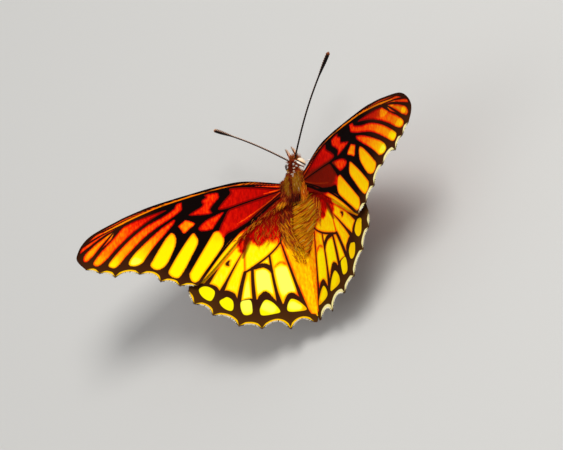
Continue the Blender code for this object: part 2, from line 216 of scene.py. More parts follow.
forewing = {
    "lift": -0.22, "dihedral": math.radians(26.2), "camber": -0.00057, "twist": -0.047,
    "drop": 0.0, "hinge": (2.9, -0.8),
    "costa": [(2.0, 0.35), (2.9, 0.8), (9.0, 2.85), (13.5, 3.05), (18.4, 2.7), (27.0, 1.75), (34.5, -0.25),
        (38.4, -2.2), (40.3, -5.6)],
    "tips": [(38.8, -8.4), (36.4, -9.8), (33.7, -11.4), (29.2, -11.9), (25.7, -14.4), (22.4, -16.2),
             (19.3, -17.0)],
    "scallops": [0.25, 0.55, 0.9, 0.95, 0.65, 0.25],
    "inner": [(16.4, -14.4), (10.9, -9.0), (7.1, -5.9), (5.0, -4.5), (3.6, -3.9), (2.6, -3.6), (1.7, -3.3)],
    "patternShift": 0.0,
    "fray": 0.2,
    "brown": [([(1.6, -1.2), (4.6, -3.0), (8.0, -5.3)], [1.2, 0.7, 0.2], 0.9, 0.5)],
    # painted shade on the right forewing only: darker brown over its base and round the patches near its tip
    "paintedShadeRight": [
        ([(2.5, 0.7), (8.0, 2.5), (13.0, 3.0)], [0.6, 0.5, 0.3], 0.3, 0.6),
        ([(3.0, -0.9), (7.5, -2.8), (11.6, -4.3)], [0.9, 1.4, 2.2], 1.2, 0.84),
        ([(2.6, -2.6), (6.0, -4.6), (9.6, -6.6)], [0.9, 0.9, 0.5], 0.8, 0.5),
        ([(27.5, -0.3), (30.2, -1.2)], [0.9, 0.9], 1.0, 0.45),
        ([(31.5, -0.8), (36.5, -3.2), (38.5, -5.6)], [1.3, 1.6, 1.2], 0.9, 0.26),
        ([(33.0, -5.2), (35.8, -7.6)], [1.0, 1.0], 0.9, 0.14),
    ],
    "silver": [  # middle and half widths of the silver spots below; over them the upper side is painted paler, a painted glow of light shining through the wing
        ((32.0, -2.1), (1.6, 1.05)), ((34.9, -2.2), (0.75, 0.55)), ((37.8, -5.3), (0.8, 0.7)),
        ((35.9, -7.0), (1.3, 0.85)), ((33.3, -8.1), (1.5, 1.1)), ((30.2, -9.0), (1.5, 0.85)),
    ],
    # painted glow over the silver spots, weak on the left wing and strong on the right
    "paintedGlowStrength": (0.25, 1.0),
    "rosyBelow": 1.0,
    "stems": [
        [(2.0, -0.6), (2.9, -0.4), (10.0, 1.9), (17.2, 2.2), (24.6, 1.2), (32.5, -1.3)],
        [(2.0, -0.8), (2.9, -0.9), (9.5, -1.8), (15.3, -2.7), (19.8, -2.2), (20.1, 0.3), (20.0, 1.9)],
    ],
    "branches": [
        ((2.9, 0.3), (21.5, 2.32), 0.95),
        ((17.5, 2.2), (27.4, 1.65), 0.2),
        ((21.5, 1.75), (31.4, 0.65), 0.2),
        ((30.6, -0.5), (39.3, -3.6), 0.3),
        ((32.5, -1.3), (40.2, -5.5), 0.25),
        ((32.5, -1.3), (38.8, -8.4), 0.25),
        ((22.0, 0.5), (36.4, -9.8), 1.4),
        ((21.0, -1.2), (33.7, -11.4), 1.2),
        ((19.8, -2.2), (29.2, -11.9), 1.0),
        ((16.7, -2.7), (25.7, -14.4), 0.5),
        ((12.6, -2.35), (22.4, -16.2), 0.1),
        ((2.9, -1.5), (19.3, -17.0), 1.0),
    ],
}

hindwing = {
    "lift": -0.35, "dihedral": math.radians(25.8), "camber": -0.00038, "twist": 0.0097,
    "drop": 0.35, "hinge": (2.9, -4.3),
    "costa": [(1.8, -3.1), (2.9, -3.25), (7.0, -4.3), (12.5, -6.7), (17.5, -10.6), (20.6, -14.2)],
    "tips": [(21.6, -17.0), (20.9, -20.05), (18.0, -23.15), (13.8, -26.5), (9.9, -28.0), (5.0, -29.35),
        (0.8, -28.9)],
    "scallops": [-0.1, 0.8, 0.95, 0.75, 1.7, 1.5],
    "inner": [(0.0, -27.4), (0.0, -14.0), (0.05, -11.0), (0.3, -8.5), (0.7, -6.6), (1.2, -5.4),
        (1.6, -4.6)],
    "patternShift": 0.4,  # both hindwings' patterns sit this far to the model's left of a mirrored layout
    "fray": 0.45,
    "brown": [
        ([(1.0, -4.5), (1.6, -8.0), (0.6, -12.5)], [2.4, 1.6, 0.4], 1.6, 0.78),
        ([(3.0, -4.0), (6.0, -6.0)], [1.2, 0.8], 1.6, 0.55),
        ([(9.5, -9.4), (10.1, -11.0), (10.8, -12.8)], [0.4, 0.3, 0.02], 0.4, 0.8),
    ],
    # painted shade on the right hindwing's base only
    "paintedShadeRight": [([(2.5, -4.5), (5.0, -8.0), (3.6, -10.5)], [1.8, 1.2, 0.6], 1.4, 0.6)],
    "silver": [
        ((8.6, -5.75), (1.7, 0.4)), ((16.0, -11.2), (1.5, 0.6)), ((11.3, -8.6), (1.5, 0.6)),
        ((16.8, -14.2), (1.9, 0.75)), ((12.4, -12.3), (1.2, 0.7)), ((16.3, -18.2), (1.9, 0.8)),
        ((12.6, -16.4), (0.75, 1.5)), ((14.6, -21.8), (0.75, 1.4)), ((10.9, -19.0), (0.5, 1.5)),
        ((11.6, -24.0), (0.75, 1.3)), ((8.0, -18.5), (0.85, 1.9)), ((7.4, -24.5), (1.1, 1.5)),
        ((4.5, -16.9), (0.7, 2.1)), ((3.2, -23.8), (0.9, 1.9)), ((1.9, -12.4), (0.6, 2.2)),
        ((1.1, -19.7), (0.45, 2.0)), ((5.3, -8.2), (0.9, 1.3)), ((8.3, -12.6), (0.7, 1.1)),
    ],
    "paintedGlowStrength": (0.0, 0.0),
    "rosyBelow": 0.0,
    "stems": [
        [(2.0, -4.2), (2.9, -4.5), (6.0, -6.1), (8.6, -7.6), (10.2, -11.0), (10.9, -15.9)],
        [(2.0, -4.5), (2.9, -4.8), (3.2, -8.0), (3.9, -11.1), (6.2, -13.4), (9.5, -15.3), (10.9, -15.9)],
    ],
    "branches": [
        ((2.9, -4.1), (21.4, -16.4), 2.3),
        ((8.6, -7.6), (20.9, -20.05), 0.4),
        ((10.2, -11.0), (18.0, -23.15), 0.25),
        ((10.9, -15.9), (13.8, -26.5), 0.3),
        ((9.5, -15.3), (9.9, -28.0), 0.3),
        ((6.2, -13.4), (5.0, -29.35), 0.4),
        ((3.9, -11.1), (0.9, -28.9), 0.1),
    ],
}

wingBuild = {
    "grain": 0.19,
    "half": 0.05,
    "veinRise": 0.08,
    "veinReach": 0.17,
    "pleat": 0.11,
    "pleatReach": 1.3,
    "dropSpread": 9.0,
    "underShare": 0.9,  # how far the veins stand out below, as a share of above
    "edgeSteps": 12,
    "scallopSteps": 16,
    "stemSteps": 10,
    "branchSteps": 24,
    "mergeWithin": 0.004,
}


def wingOutline(wing):
    tips = wing["tips"]
    front = smoothLine(wing["costa"] + tips[:1], wingBuild["edgeSteps"])
    margin = [tips[0]]
    for start, end, depth in zip(tips, tips[1:], wing["scallops"]):
        margin += bowedLine(start, end, -depth, wingBuild["scallopSteps"])[1:]
    back = smoothLine(tips[-1:] + wing["inner"], wingBuild["edgeSteps"])
    return front, margin, back


def wingVeins(wing):
    veins = [smoothLine(points, wingBuild["stemSteps"]) for points in wing["stems"]]
    for start, end, bulge in wing["branches"]:
        veins.append(bowedLine(start, end, bulge, wingBuild["branchSteps"]))
    return veins


def wingHeight(wing, x, y):
    away = (x - wing["hinge"][0]) ** 2 + (y - wing["hinge"][1]) ** 2
    height = wing["lift"] + math.tan(wing["dihedral"]) * x + wing["camber"] * x * x + wing["twist"] * y
    return height - wing["drop"] * np.exp(-away / wingBuild["dropSpread"])


def insideOf(at, outline):
    inside = np.zeros(len(at), bool)
    for (ax, ay), (bx, by) in zip(outline, np.roll(outline, -1, axis=0)):
        crosses = (ay > at[:, 1]) != (by > at[:, 1])
        if crosses.any():
            inside ^= crosses & (at[:, 0] < (bx - ax) * (at[:, 1] - ay) / (by - ay + 1e-12) + ax)
    return inside


def distanceTo(at, line):
    best = np.full(len(at), 1e3)
    for a, b in zip(line, line[1:]):
        run = b - a
        t = np.clip((at - a) @ run / max(run @ run, 1e-9), 0, 1)
        best = np.minimum(best, np.linalg.norm(at - a - t[:, None] * run, axis=1))
    return best


def wingSheet(wing):
    # An even triangle net that follows the wing's edge and its veins
    grain = wingBuild["grain"]
    front, margin, back = wingOutline(wing)
    outline = evenLine(front + margin[1:] + back[1:] + front[:1], grain)[:-1]
    veins = [evenLine(line, grain) for line in wingVeins(wing)]
    low, high = outline.min(0), outline.max(0)
    rows = np.arange(low[1], high[1], grain * math.sqrt(3) / 2)
    columns = np.arange(low[0], high[0], grain)
    gridX, gridY = np.meshgrid(columns, rows)
    gridX[1::2] += grain / 2
    filling = np.stack([gridX.ravel(), gridY.ravel()], axis=1)
    filling = filling[insideOf(filling, outline)]
    clear = distanceTo(filling, np.vstack([outline, outline[:1]])) > grain * 0.5
    for line in veins:
        clear &= distanceTo(filling, line) > grain * 0.5
    filling = filling[clear]
    points = [Vector(p) for p in outline]
    edges = [(i, (i + 1) % len(points)) for i in range(len(points))]
    for line in veins:
        first = len(points)
        points += [Vector(p) for p in line]
        edges += [(first + i, first + i + 1) for i in range(len(line) - 1)]
    points += [Vector(p) for p in filling]
    flat, _, triangles, _, _, _ = delaunay_2d_cdt(points, edges, [], 1, wingBuild["mergeWithin"])
    return np.array([tuple(p) for p in flat]), triangles, veins, np.array(margin)


# Forewing markings above: pale patches on a dark ground. Each has its outline, then its hues by share of
# its length (0 deep red, 0.5 orange, 1 lemon)
forewingPatches = {
    "nearApexA": ([(30.2, 0.2), (31.7, -0.2), (33.3, -0.75), (34.8, -1.2), (36.2, -1.55), (37.3, -2.3),
        (38.4, -3.25), (39.3, -4.0), (39.5, -4.7), (39.1, -4.85), (38.4, -4.3), (37.3, -3.4), (36.1, -2.65),
        (34.8, -1.95), (33.2, -1.35), (31.6, -0.75)],
        ((0, 0.74), (0.45, 0.62), (1, 0.5))),
    "nearApexB": ([(33.1, -1.85), (34.0, -2.0), (35.2, -2.7), (36.5, -3.45), (37.7, -4.3), (38.7, -5.15),
        (39.1, -6.0), (39.0, -6.6), (38.4, -6.75), (37.8, -6.3), (36.7, -5.45), (35.7, -4.7), (34.5, -3.85),
        (33.6, -3.0)],
        ((0, 0.92), (0.3, 0.62), (1, 0.54))),
    "behindR5": ([(23.6, 0.45), (26.3, 0.12), (28.0, -0.2), (29.6, -0.53), (31.0, -1.0), (31.8, -1.6),
        (33.6, -3.4), (35.8, -5.4), (37.3, -7.2), (37.1, -8.0), (36.2, -8.1), (34.6, -7.0), (32.4, -5.0),
        (29.6, -2.9), (26.4, -1.1), (24.9, -0.5), (23.4, 0.15)],
        ((0, 0.12), (0.3, 0.22), (0.55, 0.42), (0.85, 0.52), (1, 0.68))),
    "behindM1": ([(20.1, 1.2), (20.8, 1.3), (21.5, 1.1), (21.9, 0.4), (23.0, -0.3), (24.5, -1.0),
        (28.4, -2.65), (32.6, -6.0), (34.6, -8.3), (34.1, -9.2), (33.1, -9.2), (31.3, -7.5), (28.5, -5.0),
        (26.5, -3.6), (24.4, -2.5), (22.4, -1.55), (20.6, -0.4), (20.1, 0.4)],
        ((0, 0.3), (0.35, 0.34), (0.6, 0.5), (0.85, 0.62), (1, 0.88))),
    "behindM2": ([(21.9, -2.1), (22.6, -2.0), (23.4, -2.5), (24.8, -3.4), (26.7, -4.8), (28.4, -6.15),
        (30.1, -7.6), (31.0, -9.1), (30.5, -9.8), (29.2, -9.9), (27.9, -9.2), (27.1, -8.3), (26.0, -6.9),
        (24.9, -5.7), (23.5, -4.2), (22.3, -3.0)],
        ((0, 0.3), (0.4, 0.48), (0.6, 0.66), (0.85, 0.9), (1, 0.92))),
    "behindM3": ([(22.8, -4.65), (23.6, -5.2), (24.6, -6.5), (25.6, -7.9), (26.6, -9.4), (27.2, -10.5),
        (26.6, -11.5), (25.6, -11.8), (24.4, -11.2), (23.4, -9.7), (22.3, -7.3), (22.2, -5.5)],
        ((0, 0.76), (0.4, 0.86), (1, 0.88))),
    "behindCu1": ([(19.0, -5.75), (20.0, -6.6), (21.2, -8.0), (23.1, -10.9), (24.1, -12.7), (23.6, -13.9),
        (22.4, -14.4), (21.1, -12.9), (19.8, -10.7), (18.3, -7.9), (18.6, -6.3)],
        ((0, 0.76), (0.25, 0.88), (1, 0.9))),
    "behindCu2": ([(14.4, -6.4), (15.7, -6.8), (17.3, -8.9), (19.2, -11.4), (20.3, -13.6), (20.4, -15.3),
        (19.5, -16.2), (18.1, -15.2), (16.4, -12.9), (14.4, -10.4), (13.8, -9.2), (13.7, -7.6)],
        ((0, 0.72), (0.25, 0.87), (1, 0.9))),
    "spotM3": ([(21.5, -3.3), (20.8, -2.75), (19.9, -2.7), (18.5, -3.8), (19.6, -4.7), (20.6, -5.4),
        (21.1, -4.5)],
        ((0, 0.52), (1, 0.6))),
    "spotCu1": ([(18.0, -4.95), (16.7, -3.75), (15.2, -3.15), (13.1, -2.75), (14.1, -4.5), (15.4, -5.8),
        (17.4, -5.75)],
        ((0, 0.26), (1, 0.34))),
    "hourglass": ([(13.9, 1.7), (15.2, 1.9), (16.3, 1.75), (16.1, 1.3), (16.9, 0.7), (16.9, -0.3),
        (18.2, -1.0), (19.4, -1.75), (17.6, -2.25), (15.3, -2.45), (15.5, -1.5), (14.8, -0.5), (13.8, 0.5),
        (13.7, 1.2)],
        ((0, 0.27), (1, 0.24))),
    "cellRed": ([(2.0, 0.3), (6.0, 1.2), (10.0, 1.8), (11.7, 1.95), (11.7, 1.0), (12.6, 0.1), (13.3, -0.6),
        (14.1, -1.9), (12.0, -2.1), (8.0, -1.7), (2.0, -0.7)],
        ((0, 0.04), (1, 0.15))),
    "behindCell": ([(2.0, -0.9), (6.0, -1.5), (10.0, -2.05), (12.2, -2.5), (13.3, -4.2), (14.4, -6.4),
        (13.9, -8.0), (12.9, -7.35), (11.5, -6.95), (9.6, -6.1), (8.6, -5.6), (7.2, -4.95), (5.7, -3.65),
        (4.0, -2.5), (2.4, -1.6)],
        ((0, 0.03), (0.6, 0.1), (1, 0.18))),
    "rearBand": ([(1.2, -2.1), (3.4, -2.6), (5.5, -4.15), (6.8, -5.2), (8.2, -6.3), (10.3, -7.5),
        (12.0, -8.6), (13.6, -10.0), (15.4, -12.4), (18.6, -16.2), (18.5, -16.9), (16.4, -14.9),
        (13.4, -11.6), (10.9, -9.1), (7.1, -6.1), (3.4, -4.2), (1.5, -3.7)],
        ((0, 0.02), (0.36, 0.08), (0.44, 0.34), (0.5, 0.7), (0.6, 0.9), (1, 0.9))),
}
forewingDark = [
    ([(30.8, 0.15), (33.2, -0.55), (35.6, -1.25)], [0.02, 0.06, 0.0]),
    ([(31.2, -0.85), (32.3, -1.4), (32.9, -2.3)], [0.1, 0.34, 0.3]),
    ([(5.0, -5.9), (7.3, -7.3), (8.9, -8.5), (10.2, -9.6)], [0.03, 0.08, 0.08, 0.03]),
]
forewingStreaks = [
    # line, half widths, hue: pale lines along the front edge and on the veins at the base
    ([(5.0, 1.6), (9.0, 2.36), (14.0, 2.42), (18.0, 2.18), (21.5, 1.82), (24.4, 1.42), (27.3, 0.8),
        (30.0, 0.12), (31.7, -0.42), (34.8, -1.45)],
        [0.05, 0.07, 0.09, 0.12, 0.14, 0.14, 0.15, 0.17, 0.16, 0.1], 0.54),
    ([(16.0, 2.72), (22.0, 2.14), (27.0, 1.2), (30.7, 0.42), (33.0, -0.3), (35.4, -1.05)],
     [-0.06, -0.02, 0.05, 0.09, 0.09, 0.02], 0.32),
    ([(3.0, 0.42), (7.0, 1.75), (11.0, 2.42), (14.0, 2.62)], [0.05, 0.06, 0.05, 0.02], 0.42),
    ([(2.6, 0.0), (5.0, 0.72), (7.4, 1.4)], [0.07, 0.06, 0.01], 0.42),
    ([(2.8, -0.55), (4.2, -0.62), (5.8, -0.74)], [0.08, 0.08, 0.01], 0.4),
    ([(2.9, -1.05), (4.6, -2.3), (6.6, -3.55), (8.8, -4.75), (11.0, -5.8)], [0.07, 0.07, 0.06, 0.05, 0.01],
        0.42),
    ([(4.2, -4.3), (5.7, -5.6), (7.4, -6.85), (8.9, -8.0), (10.2, -9.2)], [0.05, 0.12, 0.14, 0.13, 0.1],
        0.48),
]
forewingVeins = [  # half width of the dark line at the root, at the middle and at the tip
    (0.1, 0.14, 0.22), (0.1, 0.17, 0.3), (0.06, 0.1, 0.1), (0.1, 0.1, 0.1), (0.1, 0.1, 0.1),
    (0.1, 0.14, 0.2), (0.1, 0.2, 0.25), (0.12, 0.22, 0.3), (0.2, 0.3, 0.4), (0.2, 0.3, 0.45),
    (0.2, 0.35, 0.5), (0.2, 0.35, 0.45), (0.12, 0.32, 0.42), (0.12, 0.17, 0.3),
]

# Hindwing markings above: yellow ground up to the inner edge of the dark border, then pale spots in it
hindwingBorder = [
    (23.0, -13.6), (20.4, -15.3), (18.9, -16.1), (17.6, -16.5), (16.3, -17.4), (15.7, -18.5), (14.9, -18.6),
    (14.1, -18.95), (13.2, -19.8), (12.75, -21.4), (11.6, -21.35), (10.4, -21.45), (9.6, -21.9), (9.1,
    -21.2), (8.2, -20.55), (7.5, -20.9), (6.8, -22.1), (6.1, -23.3), (5.5, -23.9), (5.1, -23.8), (4.6,
    -22.7), (4.0, -22.0), (3.2, -22.1), (2.4, -23.0), (1.7, -24.1), (1.3, -26.6), (0.0, -27.4),
]
hindwingSpots = [
    [(19.4, -17.5), (18.7, -16.9), (17.6, -17.2), (16.7, -18.3), (17.0, -19.5), (17.8, -20.1),
        (18.8, -19.3)],
    [(16.1, -20.7), (15.3, -20.2), (14.6, -20.1), (13.8, -21.1), (13.9, -22.6), (14.6, -23.0),
        (15.6, -22.2)],
    [(12.4, -21.7), (11.6, -21.5), (10.7, -21.8), (10.6, -23.4), (10.9, -24.5), (12.2, -24.4),
        (12.6, -23.0)],
    [(9.2, -23.6), (8.5, -22.5), (7.8, -22.4), (6.7, -23.5), (5.9, -25.3), (7.1, -25.5), (9.1, -25.3),
        (9.4, -24.4)],
    [(4.6, -24.6), (4.0, -23.4), (3.4, -23.3), (2.3, -24.2), (1.3, -26.0), (3.0, -26.0), (4.5, -25.6)],
]
hindwingDark = [
    ([(9.5, -15.5), (8.4, -15.25), (7.4, -15.3), (6.5, -16.1), (6.2, -17.2)], [0.3, 0.42, 0.45, 0.42, 0.2]),
    ([(13.3, -12.8), (13.75, -13.3), (13.6, -13.7)], [0.1, 0.3, 0.16]),
    ([(5.7, -16.1), (4.6, -15.35), (3.7, -15.9)], [-0.02, 0.04, -0.02]),
]
hindwingVeins = [
    (-0.1, -0.1, -0.02), (0.08, 0.14, 0.2), (-0.1, 0.08, 0.66), (-0.1, -0.02, 0.7), (0.02, 0.24, 0.75),
    (0.3, 0.4, 0.74), (0.25, 0.36, 0.78), (0.16, 0.27, 0.78), (0.1, 0.24, 0.4),
]
hindwingTints = [
    # line, half widths, softness, hue
    ([(1.0, -6.0), (1.6, -14.0), (1.0, -26.0)], [2.2, 1.7, 0.6], 2.0, 0.7),
    ([(2.5, -5.2), (4.4, -8.6)], [2.0, 1.4], 1.9, 0.12),
    ([(3.0, -3.6), (7.6, -6.4)], [2.0, 3.0], 1.9, 0.06),
    ([(6.8, -9.0), (7.6, -10.4)], [0.8, 0.35], 0.7, 0.1),
    ([(10.2, -8.9), (10.9, -11.0)], [0.5, 0.15], 0.9, 0.16),
    ([(7.9, -17.6), (7.6, -19.6)], [1.2, 1.4], 1.0, 1.0),
    ([(4.4, -17.6), (3.8, -20.6)], [0.9, 1.2], 1.0, 1.0),
    ([(7.3, -24.4), (8.2, -23.6)], [0.4, 0.5], 0.6, 0.98),
    ([(3.6, -24.6), (2.6, -25.2)], [0.5, 0.3], 0.6, 0.98),
    ([(11.4, -18.5), (11.4, -23.0)], [0.5, 0.6], 1.0, 0.97),
    ([(7.2, -14.5), (7.0, -15.2)], [0.3, 0.3], 0.4, 0.98),
]


marking = {
    "outside": -5.0,  # a distance that counts as nowhere near
    "strokeSteps": 5,
    "loopSteps": 6,
    "hueBlend": 0.22,
    "hueSpan": (-6, 3),
    "streakEdge": 0.06,
    "hindHue": 0.9,
    # painted shade on the right wings: how far their yellow and orange parts shift towards red, and from
    # which hue
    "paintedShadeShift": 0.14,
    "paintedShadeFrom": (0.5, 0.9),
    "throughEdge": (-0.12, 0.1),
    "shiftFrom": (0, 2),
    "rosyEdge": (29, 24),
}
markNames = (
    "lit", "over", "warm", "rib", "near", "edge", "tip", "fray", "brown", "through", "silver", "rosy",
    "side", "hind",
)


def loopField(at, points):
    # Signed distance to a closed smooth outline, positive inside
    steps = marking["loopSteps"]
    ring = list(points) * 3
    first = len(points) * steps
    line = np.array(smoothLine(ring, steps))[first:2 * first + 1]
    away = distanceTo(at, line)
    return np.where(insideOf(at, line[:-1]), away, -away)


def forewingFields(at):
    lit = np.full(len(at), marking["outside"])
    weight = np.full(len(at), 1e-9)
    warm = np.zeros(len(at))
    for outline, hues in forewingPatches.values():
        value = loopField(at, outline)
        lit = np.maximum(lit, value)
        first = np.array(outline[0])
        reach = max(np.linalg.norm(np.array(outline) - first, axis=1))
        share = np.linalg.norm(at - first, axis=1) / reach
        pull = np.exp(np.clip(value, *marking["hueSpan"]) / marking["hueBlend"])
        warm += pull * np.interp(share, *zip(*hues))
        weight += pull
    warm /= weight
    for line, widths in forewingDark:
        lit = np.minimum(lit, -strokeField(at, line, widths))
    over = np.full(len(at), marking["outside"])
    for line, widths, hue in forewingStreaks:
        value = strokeField(at, line, widths)
        over = np.maximum(over, value)
        warm = np.where(value > -marking["streakEdge"], hue, warm)
    return lit, over, warm


def hindwingFields(at):
    border = np.array(smoothLine(hindwingBorder, 5))
    outside = np.vstack([border, [(-2, -32), (26, -32), (26, -13)]])
    away = distanceTo(at, border)
    lit = np.where(insideOf(at, outside), -away, away)
    for line, widths in hindwingDark:
        lit = np.minimum(lit, -strokeField(at, line, widths))
    spots = np.full(len(at), marking["outside"])
    for outline in hindwingSpots:
        spots = np.maximum(spots, loopField(at, outline))
    warm = np.full(len(at), marking["hindHue"])
    for line, widths, softness, hue in hindwingTints:
        pull = smoothStep(strokeField(at, line, widths), -softness, 0)
        warm = warm * (1 - pull) + hue * pull
    return lit, spots, warm


def veinFields(at, veins, widths):
    rib = np.full(len(at), marking["outside"])
    rise = np.zeros(len(at))
    near = np.full(len(at), -marking["outside"])
    for line, (root, middle, tip) in zip(veins, widths):
        for step, (a, b) in enumerate(zip(line, line[1:])):
            run = b - a
            t = np.clip((at - a) @ run / max(run @ run, 1e-9), 0, 1)
            away = np.linalg.norm(at - a - t[:, None] * run, axis=1)
            share = (step + t) / (len(line) - 1)
            rib = np.maximum(rib, np.interp(share, (0, 0.5, 0.85), (root, middle, tip)) - away)
            near = np.minimum(near, away)
            rise = np.maximum(rise, (1 - 0.45 * share) * np.exp(-(away / wingBuild["veinReach"]) ** 2))
    return rib, rise, near


def brownShare(at, strokes):
    share = np.zeros(len(at))
    for line, widths, softness, most in strokes:
        share = np.maximum(share, most * smoothStep(strokeField(at, line, widths), -softness, 0))
    return share


def silverField(at, spots):
    best = np.full(len(at), marking["outside"])
    for middle, half in spots:
        away = np.linalg.norm((at - np.array(middle)) / np.array(half), axis=1)
        best = np.maximum(best, (1 - away) * min(half))
    return best


def rimFaces(triangles, count):
    sides = {edge for a, b, c in triangles for edge in ((a, b), (b, c), (c, a))}
    return [(b, a, a + count, b + count) for a, b in sorted(sides) if (b, a) not in sides]


def prepareWing(wing):
    at, triangles, veins, margin = wingSheet(wing)
    tips = np.array(wing["tips"])
    return {
        "at": at, "triangles": triangles, "wing": wing, "veins": veins,
        "edge": distanceTo(at, margin),
        "tip": np.min(np.linalg.norm(at[:, None] - tips[None], axis=2), axis=1),
        "rosy": smoothStep(at[:, 0], *marking["rosyEdge"]) * wing["rosyBelow"],
    }


def wingMarks(sheet, side):
    # The two sides' patterns are not quite mirrored: away from the margin both sit a little to the left
    wing = sheet["wing"]
    inward = smoothStep(sheet["edge"], *marking["shiftFrom"])[:, None]
    at = sheet["at"] + np.array([side * wing["patternShift"], 0]) * inward
    rib, rise, near = veinFields(at, sheet["veins"], wing["veinWidths"])
    lit, over, warm = wing["fields"](at)
    silver = silverField(at, wing["silver"])
    # Painted glow: over the silver spots below, the upper side is painted lighter and more yellow and loses
    # some of its brown
    through = smoothStep(silver, *marking["throughEdge"]) * wing["paintedGlowStrength"][side > 0]
    # brown is the wings' own dark brown ground, and on the right wings also painted shade
    brown = brownShare(at, wing["brown"] + wing["paintedShadeRight"] * (side > 0))
    # Painted shade on the right wings: their yellow and orange parts shift towards red
    paintedShadeShift = marking["paintedShadeShift"] * (side > 0) * smoothStep(warm, *marking["paintedShadeFrom"])
    return {
        "lit": lit, "over": over, "warm": warm - paintedShadeShift, "rib": rib, "rise": rise, "near": near,
        "silver": silver, "through": through, "brown": brown * (1 - 0.8 * through),
        "edge": sheet["edge"], "tip": sheet["tip"], "rosy": sheet["rosy"],
        "fray": np.full(len(at), wing["fray"]),
        "side": np.full(len(at), float(side > 0)),
        "hind": np.full(len(at), float(wing is hindwing)),
    }


def makeWing(name, sheet, side):
    at = sheet["at"]
    count = len(at)
    marks = wingMarks(sheet, side)
    pleat = wingBuild["pleat"] * (1 - np.exp(-(marks["near"] / wingBuild["pleatReach"]) ** 2))
    middle = wingHeight(sheet["wing"], at[:, 0], at[:, 1]) - pleat
    thick = wingBuild["half"] + wingBuild["veinRise"] * marks["rise"]
    top = np.stack([side * at[:, 0], at[:, 1], middle + thick], axis=1)
    under = np.stack([side * at[:, 0], at[:, 1], middle - wingBuild["underShare"] * thick], axis=1)
    upper = [tuple(face) if side > 0 else tuple(face)[::-1] for face in sheet["triangles"]]
    lower = [tuple(index + count for index in face[::-1]) for face in upper]
    piece = meshPiece(name, np.vstack([top, under]), upper + lower + rimFaces(upper, count))
    for label in markNames:
        setField(piece, label, np.tile(marks[label], 2))
    setField(piece, "upper", np.repeat([1.0, 0.0], count))
    return piece


noiseSpan = (0.3, 0.7)  # nearly all of the noise lies between these
wingLook = {
    "roughness": (0.75, 0.28),  # of the scales and of the silver spots
    "specular": (0.02, 0.6),
    "wavering": (7000, 7000, 7000),
    "streaks": (2600, 900, 2600),
    "ragged": 0.07,
    "markEdge": (-0.04, 0.06),
    "rimHue": (0.0, 0.42, -0.34, 0.0),
    "veinHue": (0.05, 0.22, -0.14, 0.0),
    "frayRoom": 3.4,
    "paintedGlowHue": 0.16,
    # how far the painted glow shifts the hue towards yellow
    "stops": [
        (0.0, "#860200"), (0.12, "#C40600"), (0.26, "#EE1E00"), (0.4, "#F85400"), (0.54, "#FC8600"),
        (0.7, "#FFB800"), (0.82, "#FFDC00"), (0.9, "#FFEE00"), (1.0, "#FFFF60"),
    ],
    "innerFrom": (0.4, 4.0),
    "marginDark": ("#43200A", "#4A2A0A"),  # forewing, hindwing
    "innerDark": ("#2E1206", "#38180A"),
    "rootDark": "#0C0403",
    "brown": "#5A1002",
    "lineReach": (0.15, 1.3, 0.1, 0.44),
    "rightReach": (0.6, 1.6, 0.0, 0.22),
    "lineEdge": (0.0, 0.1),
    "lineFrom": (0.06, 0.1),
    "lines": ("#FFC400", "#FFEFA0"),  # left, right
    "below": ("#6E3C16", "#9A6228"),
    "belowDark": "#1C0C06",
    "belowRosy": "#E2601E",
    "belowRib": "#4A260E",
    "silverRing": "#140A06",
    "silver": "#E9EAE4",
    "rosyEdge": (-0.1, 0.05),
    "ribEdge": (-0.12, 0.02),
    "ringEdge": (-0.26, -0.2),
    "silverEdge": (-0.03, 0.03),
}


